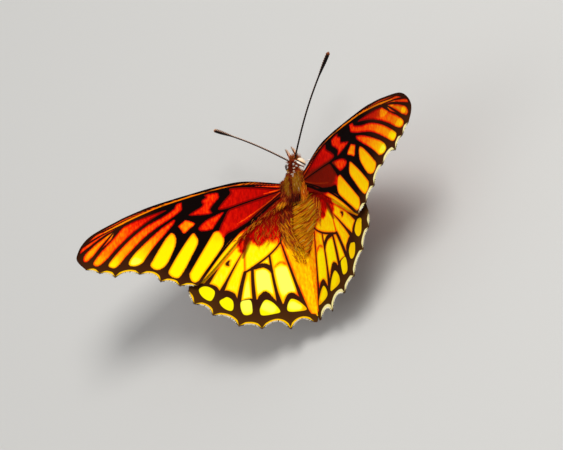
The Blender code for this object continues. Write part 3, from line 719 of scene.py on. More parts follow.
def wingMaterial():
    # Overlapping scales on a thin membrane: matt, with crisp but slightly ragged edges between the colours
    look = wingLook
    material, tree, shader = startMaterial("butterfly wing scales", {})
    marks = {name: fieldNode(tree, name) for name in markNames + ("upper",)}
    ragged = grainNode(tree, look["wavering"], 2.0)
    streaky = grainNode(tree, look["streaks"], 3.0)

    def math2(operation, a, b):
        settings = {"operation": operation}
        links = {}
        for index, value in enumerate((a, b)):
            if isinstance(value, (int, float)):
                settings[index] = value
            else:
                links[index] = value
        return addNode(tree, "ShaderNodeMath", settings, links).outputs[0]

    def ranged(value, low, high, outLow=0.0, outHigh=1.0):
        return rangeNode(tree, value, low, high, outLow, outHigh)

    def mixed(factor, a, b):
        settings = {"data_type": "RGBA"}
        links = {0: factor}
        for index, value in ((6, a), (7, b)):
            if isinstance(value, str):
                settings[index] = paint(value)
            else:
                links[index] = value
        return addNode(tree, "ShaderNodeMix", settings, links).outputs[2]

    shift = ranged(ragged, *noiseSpan, -look["ragged"], look["ragged"])
    ground = math2("MINIMUM", math2("ADD", marks["lit"], shift), math2("MULTIPLY", marks["rib"], -1.0))
    within = math2("MAXIMUM", ground, marks["over"])
    away = math2("SUBTRACT", 1.0, marks["warm"])
    room = math2("MULTIPLY", marks["warm"], away)
    room = math2("MULTIPLY", room, math2("MULTIPLY", away, look["frayRoom"]))
    frayed = math2("MULTIPLY", math2("MULTIPLY", room, ranged(streaky, *noiseSpan, -1.0, 1.0)), marks["fray"])
    plain = math2("ADD", marks["warm"], frayed)
    # the painted glow over the silver spots below shifts the hue, as do the edges of the marks and the veins
    for change in (math2("MULTIPLY", marks["through"], look["paintedGlowHue"]), ranged(within, *look["rimHue"]),
                   ranged(marks["near"], *look["veinHue"])):
        plain = math2("ADD", plain, change)
    onTop = ranged(marks["over"], -marking["streakEdge"], 0.0)
    hue = addNode(tree, "ShaderNodeMix", None, {0: onTop, 2: plain, 3: marks["warm"]}).outputs[0]
    ramp = rampNode(tree, hue, look["stops"])
    foreDark = mixed(marks["rosy"], look["innerDark"][0], look["rootDark"])
    dark = mixed(ranged(marks["edge"], *look["innerFrom"]), mixed(marks["hind"], *look["marginDark"]),
                 mixed(marks["hind"], foreDark, look["innerDark"][1]))
    # The brown mark darkens the colour: the wings' dark ground, and painted shade on the right wings
    colour = mixed(ranged(within, *look["markEdge"]), dark, mixed(marks["brown"], ramp, look["brown"]))
    # The hollows of the margin carry a yellow line, broader and nearly white on the right side
    wider = math2("MULTIPLY", ranged(marks["tip"], *look["rightReach"]), marks["side"])
    reach = math2("ADD", ranged(marks["tip"], *look["lineReach"]), wider)
    line = ranged(math2("SUBTRACT", reach, marks["edge"]), *look["lineEdge"])
    line = math2("MULTIPLY", line, ranged(marks["edge"], *look["lineFrom"]))
    colour = mixed(line, colour, mixed(marks["side"], *look["lines"]))
    # Below: brown with silver spots in dark rings, and a rosy orange forewing base with the dark spots above
    below = mixed(marks["rosy"], mixed(ranged(streaky, *noiseSpan), *look["below"]), look["belowDark"])
    isRosy = math2("MULTIPLY", ranged(marks["lit"], *look["rosyEdge"]), marks["rosy"])
    below = mixed(isRosy, below, look["belowRosy"])
    below = mixed(ranged(marks["rib"], *look["ribEdge"]), below, look["belowRib"])
    below = mixed(ranged(marks["silver"], *look["ringEdge"]), below, look["silverRing"])
    isSilver = ranged(marks["silver"], *look["silverEdge"])
    below = mixed(isSilver, below, look["silver"])
    tree.links.new(mixed(marks["upper"], below, colour), shader.inputs["Base Color"])
    shine = math2("MULTIPLY", isSilver, math2("SUBTRACT", 1.0, marks["upper"]))
    tree.links.new(ranged(shine, 0.0, 1.0, *look["roughness"]), shader.inputs["Roughness"])
    tree.links.new(ranged(shine, 0.0, 1.0, *look["specular"]), shader.inputs["Specular IOR Level"])
    return material


forewing["fields"], forewing["veinWidths"] = forewingFields, forewingVeins
hindwing["fields"], hindwing["veinWidths"] = hindwingFields, hindwingVeins
sheets = {"forewing": prepareWing(forewing), "hindwing": prepareWing(hindwing)}
wingFinish = wingMaterial()
for side, label in bothSides:
    for kind, sheet in sheets.items():
        piece = makeWing(f"{kind}Scales_{label}", sheet, side)
        placePiece(piece, "root", [f"{kind}_{label}"], wingFinish)
print("wings made:", sum(len(sheet["at"]) for sheet in sheets.values()), "points a side")


# Body: one skin over head, thorax and abdomen, inside the solids by the depth of its fur

skin = {
    "sections": [  # place along Y, half width, half height, middle height
        (-21.2, 0.25, 0.25, -2.8), (-20.2, 0.75, 0.75, -2.85), (-17.0, 1.2, 1.15, -3.1), (-13.0, 1.5,
        1.45, -3.2), (-9.5, 1.55, 1.5, -2.95), (-7.0, 1.35, 1.3, -2.3), (-5.6, 1.2, 1.15, -1.6), (-4.6,
        1.55, 1.45, -1.15), (-3.0, 2.15, 1.95, -0.75), (-1.0, 2.5, 2.15, -0.6), (0.7, 2.45, 2.05, -0.6),
        (1.8, 2.25, 1.8, -0.65), (2.5, 1.95, 1.5, -0.75), (2.95, 1.65, 1.3, -0.85), (3.25, 1.55, 1.25,
        -0.9), (3.6, 1.55, 1.25, -0.95), (4.2, 1.5, 1.3, -1.0), (5.0, 1.25, 1.15, -1.1), (5.6, 0.78,
        0.75, -1.2), (5.9, 0.3, 0.3, -1.2),
    ],
    "sides": 40,
    "voxel": 0.14,
    "smoothing": 5,
    "swellings": [  # middle and radii, on both sides: wing roots, hips and feeler sockets
        ((2.0, -0.7, 0.1), (0.95, 1.7, 0.7)), ((1.7, -4.0, -0.5), (0.9, 1.0, 0.6)),
        ((2.3, 0.2, 0.8), (0.7, 1.1, 0.45)),
        ((0.9, 1.5, -2.0), (0.55, 0.6, 0.6)), ((1.2, -0.4, -2.3), (0.7, 0.8, 0.7)),
        ((1.1, -3.2, -2.2), (0.7, 0.85, 0.7)), ((0.6, 4.85, -0.25), (0.3, 0.3, 0.3)),
    ],
    "rings": 9,
    "ringFrom": -20.6,
    "ringTo": -6.6,
    "ringDepth": 0.08,
}
paleDots = [  # pale tufts on the head and collar: place seen from above, radius, tone
    (0.79, 4.59, 0.15, 1.0), (0.47, 3.98, 0.15, 1.0), (0.94, 3.43, 0.16, 1.0), (0.6, 2.92, 0.14, 0.94),
    (0.8, 2.0, 0.14, 0.9), (0.55, 1.43, 0.17, 1.0), (1.5, 2.85, 0.22, 1.0), (-0.98, 4.06, 0.15, 1.0),
    (1.68, 2.7, 0.22, 1.0), (1.8, 2.55, 0.22, 1.0), (-0.96, 3.13, 0.14, 0.7), (-1.0, 4.6, 0.16, 1.0),
    (-1.42, 4.15, 0.15, 1.0), (-0.45, 2.2, 0.1, 0.8),
]
skinLines = np.array(skin["sections"])


def makeSkin():
    bpy.ops.object.select_all(action="DESELECT")
    bpy.ops.mesh.primitive_circle_add(
        vertices=skin["sides"], radius=1, fill_type="NGON", location=(0, 0, 0), rotation=(math.pi / 2, 0, 0))
    piece = bpy.context.object
    bpy.ops.object.transform_apply(location=True, rotation=True, scale=True)
    bpy.ops.object.mode_set(mode="EDIT")
    bpy.ops.mesh.select_all(action="SELECT")
    y, width, height, middle = skin["sections"][0]
    bpy.ops.transform.resize(value=(width, 1, height), center_override=(0, 0, 0))
    bpy.ops.transform.translate(value=(0, y, middle))
    for nextY, nextWidth, nextHeight, nextMiddle in skin["sections"][1:]:
        step = (0, nextY - y, nextMiddle - middle)
        bpy.ops.mesh.extrude_region_move(TRANSFORM_OT_translate={"value": step})
        bpy.ops.transform.resize(
            value=(nextWidth / width, 1, nextHeight / height), center_override=(0, nextY, nextMiddle))
        y, width, height, middle = nextY, nextWidth, nextHeight, nextMiddle
    bpy.ops.mesh.select_all(action="SELECT")
    bpy.ops.mesh.normals_make_consistent(inside=False)
    bpy.ops.object.mode_set(mode="OBJECT")
    swellings = [
        makeBall((side * x, y, z), radii, 20, 12)
        for (x, y, z), radii in skin["swellings"] for side in (-1, 1)
    ]
    selectOnly(swellings + [piece])
    bpy.ops.object.join()
    piece.name = "bodySkin"
    remesh = piece.modifiers.new("one skin", "REMESH")
    remesh.mode = "VOXEL"
    remesh.voxel_size = skin["voxel"]
    soften = piece.modifiers.new("soften", "SMOOTH")
    soften.iterations = skin["smoothing"]
    for modifier in ("one skin", "soften"):
        bpy.ops.object.modifier_apply(modifier=modifier)
    piece.data.shade_smooth()
    return piece


def meshArrays(piece):
    mesh = piece.data
    at = np.empty(len(mesh.vertices) * 3)
    mesh.vertices.foreach_get("co", at)
    out = np.empty(len(mesh.vertices) * 3)
    mesh.vertices.foreach_get("normal", out)
    mesh.calc_loop_triangles()
    corners = np.empty(len(mesh.loop_triangles) * 3, np.int32)
    mesh.loop_triangles.foreach_get("vertices", corners)
    return at.reshape(-1, 3), out.reshape(-1, 3), corners.reshape(-1, 3)


def scatter(at, out, corners, count, weight, rng):
    spots = at[corners]
    area = np.linalg.norm(np.cross(spots[:, 1] - spots[:, 0], spots[:, 2] - spots[:, 0]), axis=1)
    chance = area * weight(spots.mean(axis=1))
    chosen = rng.choice(len(corners), count, p=chance / chance.sum())
    share = rng.dirichlet((1, 1, 1), count)[:, :, None]
    root = (spots[chosen] * share).sum(axis=1)
    facing = (out[corners[chosen]] * share).sum(axis=1)
    return root, unit(facing)


def unit(vectors):
    return vectors / np.maximum(np.linalg.norm(vectors, axis=-1, keepdims=True), 1e-9)


def gauss(value, width):
    return np.exp(-(value / width) ** 2)


furTones = {
    # tone, then the two places between which it sets in, or the middle and the width of a band
    "back": 0.64,
    "backBand": (0.38, -0.05, 0.36),
    "flanks": (0.16, 1.7, 2.3),
    # painted shade on the left flank
    "leftFlankShade": (0.12, 0.5, 1.6),
    "rear": (0.2, 1.2, 2.8),
    "rearFlanks": (0.26, 1.1, 2.2),
    "waistBand": (0.24, -5.2, 0.9),
    "collar": (0.36, 1.5, 2.4),
    "collarBand": (0.1, 0.0, 0.4),
    # painted shade on the left of the collar: how much darker, and the x left of which
    "collarLeftShade": (0.08, -0.6),
    "face": (0.46, 4.4, 5.2),
    "abdomen": (0.44, 6.0, 7.5),
    "abdomenBand": (0.12, 0.0, 0.5),
    "below": (0.74, 0.25, 0.7),
    "belowRear": (0.1, 5.0, 7.0),
}
collarPatch = {
    "centre": (1.8, 2.66, -1.0), "radii": (0.5, 0.32, 0.8), "reach": 1.25, "edge": 0.3, "top": -0.9,
}


def stepIn(value, row):
    amount, low, high = row
    return amount * smoothStep(value, low, high)


def bandOf(value, row):
    amount, middle, width = row
    return amount * gauss(value - middle, width)


def passTo(tone, value, row, change=0.0):
    goal, low, high = row
    share = smoothStep(value, low, high)
    return tone * (1 - share) + (goal + change) * share


def furTone(at):
    # 0 near black, 0.2 dark red brown, 0.5 brown, 0.62 olive, 0.75 gold, 0.87 cream, 1 white
    x, y, z = at.T
    side = np.abs(x)
    tones = furTones
    height, middle = [np.interp(y, skinLines[:, 0], skinLines[:, column]) for column in (2, 3)]
    # Painted shade: the fur on the left flank and on the left of the collar is darker, as turned away from
    # the light
    tone = tones["back"] - bandOf(x, tones["backBand"]) - stepIn(side, tones["flanks"]) - stepIn(
        -x, tones["leftFlankShade"])
    tone = passTo(tone, -y, tones["rear"], stepIn(side, tones["rearFlanks"]))
    tone = tone - bandOf(y, tones["waistBand"])
    darker, leftOf = tones["collarLeftShade"]
    tone = passTo(tone, y, tones["collar"], -bandOf(x, tones["collarBand"]) - darker * (x < leftOf))
    tone = passTo(tone, y, tones["face"])
    tone = passTo(tone, -y, tones["abdomen"], -bandOf(x, tones["abdomenBand"]))
    return passTo(tone, (middle - z) / height, tones["below"], stepIn(-y, tones["belowRear"]))


def dotShare(at):
    # 1 inside the pale dots and the collar's pale patches, 0 outside
    x, y, z = at.T
    share = np.zeros(len(at))
    for dotX, dotY, radius, _ in paleDots:
        away = np.hypot(x - dotX, y - dotY)
        share = np.maximum(share, smoothStep(radius * 1.1 - away, 0, radius * 0.4))
    offset = (np.stack([np.abs(x), y, z], axis=1) - collarPatch["centre"]) / collarPatch["radii"]
    patch = np.sqrt((offset ** 2).sum(axis=1))
    inPatch = smoothStep(collarPatch["reach"] - patch, 0, collarPatch["edge"])
    return np.maximum(share * (z > collarPatch["top"]), inPatch)


def furFlow(at, out):
    # The fur lies rearward, spreads a little, and turns forward on the face
    x, y = at.T[:2]
    ahead = smoothStep(y, 4.3, 5.2) * 1.6 - 1
    flow = np.stack([0.12 * x, ahead, np.full(len(at), 0.05)], axis=1)
    return unit(flow - out * (flow * out).sum(axis=1, keepdims=True))


# Hair: every lock is a tapering three-sided rod along its own curve

lockShape = {
    "taper": {2: (1.0, 0.75), 3: (1.0, 0.9, 0.55), 4: (0.9, 1.0, 0.8, 0.45)},
    "flat": 0.5,
    "patch": 0.003,
    "sway": 0.08,
}


def makeLocks(name, lines, out, width, tone, spot):
    # lines holds each lock's curve from root to tip; spot is the root's place on the unwrapped surface
    count, steps = lines.shape[:2]
    rings = steps - 1
    along = unit(np.gradient(lines, axis=1))
    side = unit(np.cross(out[:, None], along))
    up = np.cross(along, side)
    taper = np.array(lockShape["taper"][rings])
    size = width[:, None, None] * taper[None, :, None]
    corners = []
    for corner in range(3):
        turn = math.pi / 2 + 2 * corner * math.pi / 3
        across = side[:, :rings] * math.cos(turn) + up[:, :rings] * math.sin(turn) * lockShape["flat"]
        corners.append(lines[:, :rings] + across * size)
    points = np.concatenate([np.stack(corners, axis=2).reshape(count, rings * 3, 3), lines[:, -1:]], axis=1)
    faces = [(0, 2, 1)]
    patches = [((0, 0), (0.67, 0), (0.33, 0))]
    for ring in range(rings):
        for k in range(3):
            a, b = ring * 3 + k, ring * 3 + (k + 1) % 3
            low, high = ring / rings, (ring + 1) / rings
            if ring == rings - 1:
                faces.append((a, b, rings * 3))
                patches.append(((k / 3, low), ((k + 1) / 3, low), ((k + 0.5) / 3, 1)))
                continue
            c, d = b + 3, a + 3
            faces += [(a, b, c), (a, c, d)]
            patches += [((k / 3, low), ((k + 1) / 3, low), ((k + 1) / 3, high)),
                        ((k / 3, low), ((k + 1) / 3, high), (k / 3, high))]
    each = rings * 3 + 1
    corner = (np.array(faces)[None] + np.arange(count)[:, None, None] * each).reshape(-1)
    mesh = bpy.data.meshes.new(name)
    mesh.vertices.add(count * each)
    mesh.vertices.foreach_set("co", points.reshape(-1))
    mesh.loops.add(len(corner))
    mesh.loops.foreach_set("vertex_index", corner.astype(np.int32))
    mesh.polygons.add(len(corner) // 3)
    mesh.polygons.foreach_set("loop_start", np.arange(0, len(corner), 3, dtype=np.int32))
    mesh.update(calc_edges=True)
    mesh.shade_smooth()
    bakeMap = mesh.uv_layers.new(name="OFBake")
    offsets = (np.array(patches).reshape(1, -1, 2) - 0.5) * lockShape["patch"]
    bakeMap.data.foreach_set("uv", (spot[:, None] + offsets).reshape(-1).astype(np.float32))
    piece = bpy.data.objects.new(name, mesh)
    bpy.context.scene.collection.objects.link(piece)
    share = np.append(np.repeat(np.arange(rings) / rings, 3), 1.0)
    setField(piece, "tone", np.repeat(np.clip(tone, 0, 1), each))
    setField(piece, "tip", np.tile(share, count))
    return piece


def curvedLines(root, out, flow, length, rise, sag, sink, steps, rng):
    side = np.cross(out, flow)
    turn = rng.uniform(0, 2 * math.pi, len(root))
    lines = []
    for step in range(steps):
        t = step / (steps - 1)
        lift = (length * (rise * t - sag * t * t) - sink * (1 - t))[:, None]
        drift = (length * lockShape["sway"] * (np.sin(turn + 3.5 * t) - np.sin(turn)))[:, None]
        lines.append(root + flow * (length * t)[:, None] + out * lift + side * drift)
    return np.stack(lines, axis=1)


def hairMaterial(name, stops, roughness):
    # Soft strands, darker at the root than at the tip, a painted shade among the crowded roots; the white
    # ones are nearly even
    material, tree, shader = startMaterial(name, {"Roughness": roughness, "Specular IOR Level": 0.1})
    tone, tip = fieldNode(tree, "tone"), fieldNode(tree, "tip")
    shade = addNode(tree, "ShaderNodeMix", None, {
        0: rangeNode(tree, tone, 0.84, 0.95),
        2: rangeNode(tree, tip, 0.0, 1.0, 0.45, 1.2),
        3: rangeNode(tree, tip, 0.0, 1.0, 0.95, 1.1),
    }).outputs[0]
    links = {0: rampNode(tree, tone, stops), "Scale": shade}
    colour = addNode(tree, "ShaderNodeVectorMath", {"operation": "SCALE"}, links).outputs[0]
    tree.links.new(colour, shader.inputs["Base Color"])
    return material


furStops = [(0.0, "#120502"), (0.2, "#5A0E03"), (0.35, "#9A2C06"), (0.5, "#BA5A08"), (0.62, "#B88208"),
            (0.75, "#E0A21E"), (0.87, "#F6D9A8"), (1.0, "#FFFDF8")]
furFinish = hairMaterial("body fur", furStops, 0.6)


def toneMaterial(name, stops, look):
    # The tone attribute, broken up by a fine grain, through a ramp, with the same grain as relief
    material, tree, shader = startMaterial(name, {
        "Roughness": look["roughness"], "Specular IOR Level": look["specular"]})
    grain = grainNode(tree, look["grain"], look["detail"])
    shift = rangeNode(tree, grain, *noiseSpan, *look["breakUp"])
    links = {0: fieldNode(tree, "tone"), 1: shift}
    mixed = addNode(tree, "ShaderNodeMath", {"operation": "ADD"}, links).outputs[0]
    tree.links.new(rampNode(tree, mixed, stops), shader.inputs["Base Color"])
    addBump(tree, shader, grain, look["relief"], look["depth"])
    return material


skinLook = {
    "roughness": 0.65, "specular": 0.1, "grain": (9000, 2200, 9000), "detail": 3.0, "breakUp": (-0.24, 0.02),
    "relief": 0.6, "depth": 0.00006,
}


bodySkin = makeSkin()
skinAt, skinOut, skinCorners = meshArrays(bodySkin)
ringShare = (skinAt[:, 1] - skin["ringFrom"]) / (skin["ringTo"] - skin["ringFrom"])
ringWave = np.cos(2 * math.pi * skin["rings"] * ringShare) ** 3
onRings = smoothStep(ringShare, 0, 0.05) * smoothStep(1 - ringShare, 0, 0.05)
skinAt = skinAt - skinOut * (skin["ringDepth"] * np.maximum(ringWave, 0) * onRings)[:, None]
bodySkin.data.vertices.foreach_set("co", skinAt.reshape(-1))
dotsOnSkin = dotShare(skinAt)
setField(bodySkin, "tone", furTone(skinAt) * (1 - dotsOnSkin) + dotsOnSkin)
skinFinish = toneMaterial("hairy cuticle", furStops, skinLook)
placePiece(bodySkin, "root", ["thorax", "head", "abdomen"], skinFinish)
print("skin made:", len(skinAt), "points")


def bodySpot(at):
    # The place of a point on the unwrapped body
    x, y, z = at.T
    middle = np.interp(y, skinLines[:, 0], skinLines[:, 3])
    return np.stack([0.5 + 0.46 * np.arctan2(x, z - middle) / math.pi, (y + 23) / 31], axis=1)


furRanges = {
    # rows: number of tufts, from, to, length, its spread, width, rise, sag
    "thoraxFur": (6400, -5.9, 2.7, 0.95, 0.35, 0.045, 0.42, 0.3),
    "headFur": (2400, 2.7, 6.0, 0.4, 0.15, 0.033, 0.75, 0.35),
    "fronsFur": (420, 4.75, 5.95, 0.75, 0.18, 0.042, 0.9, 0.2),
    "abdomenFur": (4200, -21.2, -5.5, 0.75, 0.2, 0.05, 0.3, 0.22),
}


furBuild = {
    "seed": 20, "steps": 4, "sunk": 0.07, "lean": 0.22, "riseSpread": 0.1,
    "upperMore": (0.8, -1.0, 0.5),
    "lengths": (0.4, 1.7),
    "collarShorter": (0.45, 1.6, 2.6),
    "rearLonger": (0.5, 1.5, 3.0),
    "dotShorter": 0.35,
    "dotThicker": 0.6,
    "widths": (0.75, 1.25),
    "toneSpread": 0.085,
    "darker": (0.2, 0.14),  # how much, and in what share of the tufts
    "dotTone": (0.97, 0.03),
}


def makeFur(name, seed):
    count, low, high, length, spread, width, rise, sag = furRanges[name]
    build = furBuild
    rng = np.random.default_rng(seed)

    def weight(at):
        inside = (at[:, 1] > low) & (at[:, 1] < high)
        return inside * (1.0 + stepIn(at[:, 2], build["upperMore"]))

    root, out = scatter(skinAt, skinOut, skinCorners, count, weight, rng)
    lean = rng.normal(0, build["lean"], (count, 3))
    flow = furFlow(root, out) + lean
    flow = unit(flow - out * (flow * out).sum(axis=1, keepdims=True))
    dots = dotShare(root)
    shortest, longest = build["lengths"]
    size = np.clip(rng.normal(length, spread, count), length * shortest, length * longest)
    if name == "thoraxFur":
        size *= 1 - stepIn(root[:, 1], build["collarShorter"]) * (1 - dots)
        size *= 1 + stepIn(-root[:, 1], build["rearLonger"])
    size *= 1 - build["dotShorter"] * dots
    rise = rise + rng.normal(0, build["riseSpread"], count)
    lines = curvedLines(root, out, flow, size, rise, sag, build["sunk"], build["steps"], rng)
    darker, share = build["darker"]
    tone = furTone(root) + rng.normal(0, build["toneSpread"], count) - darker * (rng.random(count) < share)
    palest, spread = build["dotTone"]
    tone = tone * (1 - dots) + (palest + spread * rng.random(count)) * dots
    thick = width * rng.uniform(*build["widths"], count) * (1 + build["dotThicker"] * dots)
    piece = makeLocks(name, lines, out, thick, tone, bodySpot(root))
    placePiece(piece, "root", [], furFinish)


tuft = {"seed": 30, "scales": 30, "spread": 0.55, "lean": 0.3, "length": (0.3, 0.42), "width": 0.066}


def makeDots():
    # Each pale dot is a small upright tuft of flat scales
    rng = np.random.default_rng(tuft["seed"])
    each = tuft["scales"]
    upper = np.flatnonzero(skinOut[:, 2] > 0.05)
    chosen, tones, radii = [], [], []
    for dotX, dotY, radius, tone in paleDots:
        away = np.hypot(skinAt[upper, 0] - dotX, skinAt[upper, 1] - dotY)
        chosen += [upper[away.argmin()]] * each
        tones += [tone] * each
        radii += [radius] * each
    out = skinOut[chosen]
    spread = rng.normal(0, 1, (len(chosen), 3)) * np.array(radii)[:, None] * tuft["spread"]
    root = skinAt[chosen] + spread - out * (spread * out).sum(axis=1, keepdims=True)
    flow = unit(furFlow(root, out) + rng.normal(0, tuft["lean"], root.shape))
    size = rng.uniform(*tuft["length"], len(chosen))
    lines = curvedLines(root, out, flow, size * 0.8, 1.6, 0.4, 0.05, 3, rng)
    tone = np.clip(np.array(tones) + rng.normal(0, 0.03, len(chosen)), 0, 1)
    width = np.full(len(chosen), tuft["width"])
    piece = makeLocks("paleTufts", lines, out, width, tone, bodySpot(root))
    placePiece(piece, "root", [], furFinish)


for index, name in enumerate(furRanges):
    makeFur(name, furBuild["seed"] + index)
makeDots()
print("fur made:", sum(row[0] for row in furRanges.values()), "tufts")


# Hair on the wings: dark strands below bright ones over the hindwings' inner part, and tufts at the roots

warmStops = [(0.0, "#160402"), (0.15, "#4C0A02"), (0.3, "#A02203"), (0.45, "#DA5602"), (0.6, "#FF9600"),
             (0.75, "#FFC400"), (0.88, "#FFE670"), (1.0, "#FFFBF0")]
warmFinish = hairMaterial("long wing hair", warmStops, 0.5)

hairBed = {
    "seed": 40, "steps": 5, "tries": 12, "floor": 0.3, "blend": 0.22, "above": 0.08, "sunk": 0.06,
    "scatter": 0.18, "drift": 0.05, "clump": 1.2, "lengths": (0.6, 1.15), "shortest": 0.5, "turnSpread": 0.2,
    "lofts": (0.4, 1.0), "widths": (0.7, 1.3), "toneSpread": 0.025,
}
foldLine = np.array([(-0.6, -3.0), (-1.9, -8.6), (-1.75, -10.6), (-1.0, -12.6), (0.1, -14.1), (0.05, -17.0)])
rightZone = [(0.4, -3.4), (3.2, -3.2), (5.2, -4.4), (5.9, -7.0), (5.3, -10.0), (3.4, -12.6), (1.6, -14.6),
             (0.3, -15.4)]
hairGroups = {
    # wing, side, clumps, locks in each, zone, heading at the zone's front and rear, length, half width,
    # tone, its spread and its rise towards the rear, loft, waviness
    "rightUnder": (hindwing, 1, 420, 2, rightZone, ((-1, -0.06), (-1, -0.35)), 3.4, 0.06, (0.4, 0.08, 0.12),
        0.08, 0.02),
    "rightOver": (hindwing, 1, 110, 5, rightZone, ((-1, -0.06), (-1, -0.35)), 4.4, 0.045,
        (0.65, 0.06, 0.06), 0.36, 0.015),
    "rightOuter": (hindwing, 1, 44, 2, [(4.8, -4.6), (6.2, -5.4), (6.9, -7.6), (6.5, -10.2), (5.4, -10.4)],
        ((-0.3, -1), (-0.05, -1)), 2.3, 0.045, (0.4, 0.12, 0.1), 0.2, 0.05),
    "leftUnder": (hindwing, -1, 300, 2, [(0.6, -4.4), (3.6, -4.4), (4.4, -7.6), (3.8, -10.6), (1.4, -12.0),
        (0.3, -11.0)],
        ((-0.3, -0.95), (-0.39, -0.92)), 2.2, 0.055, (0.24, 0.07, 0.1), 0.1, 0.03),
    "leftOver": (hindwing, -1, 70, 4, [(1.0, -6.0), (4.2, -7.2), (4.0, -11.0), (2.6, -12.6), (1.0, -12.6)],
        ((-0.3, -0.95), (-0.42, -0.9)), 2.4, 0.04, (0.56, 0.07, 0.06), 0.28, 0.03),
    "leftTicks": (hindwing, -1, 50, 2, [(0.5, -12.2), (3.0, -12.2), (2.6, -15.6), (0.4, -16.6)],
        ((-0.5, -0.86), (-0.62, -0.78)), 1.3, 0.04, (0.36, 0.06, 0.1), 0.12, 0.03),
    "leftWavy": (hindwing, -1, 75, 2, [(2.2, -4.4), (5.6, -5.2), (8.6, -8.0), (8.6, -10.4), (5.6, -10.6),
        (2.8, -9.4)],
        ((-0.05, -1), (0.16, -1)), 1.8, 0.03, (0.44, 0.07, 0.2), 0.22, 0.12),
    "leftRear": (forewing, -1, 110, 2, [(1.7, -2.6), (3.4, -3.0), (8.2, -5.9), (11.6, -9.2), (10.6, -9.0),
        (6.8, -6.2), (3.2, -4.2), (1.6, -3.6)],
        ((0.5, -0.9), (0.6, -0.8)), 1.2, 0.035, (0.46, 0.1, 0.05), 0.12, 0.08),
    "leftShoulder": (forewing, -1, 70, 3, [(1.2, -3.0), (1.5, 0.2), (2.2, 0.3), (2.6, -1.0), (2.6, -3.2)],
        ((0.5, -0.85), (0.3, -0.95)), 1.4, 0.04, (0.27, 0.1, 0.1), 0.2, 0.06),
    "rightShoulder": (forewing, 1, 90, 3, [(1.4, -3.2), (1.8, -0.6), (2.5, -0.4), (3.2, -1.6), (3.8, -3.6),
        (2.4, -4.0)],
        ((0.2, -1), (-0.1, -1)), 1.7, 0.04, (0.42, 0.1, 0.08), 0.25, 0.06),
    "leftTuft": (forewing, -1, 12, 5, [(1.6, -3.3), (2.4, -3.0), (3.2, -3.6), (2.6, -4.0)],
        ((0.6, -0.8), (0.6, -0.8)), 1.4, 0.045, (0.66, 0.04, 0.0), 0.3, 0.06),
}


def wingNormal(wing, x, y):
    step = 0.05
    slopeX = (wingHeight(wing, x + step, y) - wingHeight(wing, x - step, y)) / (2 * step)
    slopeY = (wingHeight(wing, x, y + step) - wingHeight(wing, x, y - step)) / (2 * step)
    return unit(np.stack([-slopeX, -slopeY, np.ones(len(x))], axis=1))


def wingSpot(x, y, side):
    # The place of a point on the unwrapped wings
    return np.stack([0.5 + side * (x + 1) / 90, (y + 31) / 38], axis=1)


def bedHeight(wing, x, y):
    # The surface that the hair lies on: the wing, filled up where both hindwings meet
    height = wingHeight(wing, np.abs(x), y)
    return softMax(height, np.full(len(x), hairBed["floor"]), hairBed["blend"])


def roomToFold(side, x, y, heading):
    # How far each lock on a hindwing may run before it meets the fold between the two wings
    reach = np.linspace(0, 6, 61)
    atX = side * (x[:, None] + heading[:, :1] * reach)
    atY = y[:, None] + heading[:, 1:] * reach
    fold = np.interp(-atY, -foldLine[:, 1], foldLine[:, 0])
    beyond = (atX - fold) * side < -0.12
    return np.where(beyond.any(axis=1), reach[beyond.argmax(axis=1)], reach[-1])


def evenSpots(spots, most, heading, length):
    # Picks roots that stand apart across the heading, so that the clumps lie side by side with dark gaps
    across = spots @ np.array([-heading[1], heading[0]])
    along = spots @ heading
    kept = []
    for gap in (0.5, 0.34, 0.22, 0.14, 0.08, 0.0):
        for index in range(len(spots)):
            if len(kept) == most:
                return spots[kept]
            if index in kept:
                continue
            apart = np.hypot((across[kept] - across[index]) / max(gap, 1e-6),
                             (along[kept] - along[index]) / (0.6 * length))
            if not kept or apart.min() > 1 or gap == 0:
                kept.append(index)
    return spots[kept]


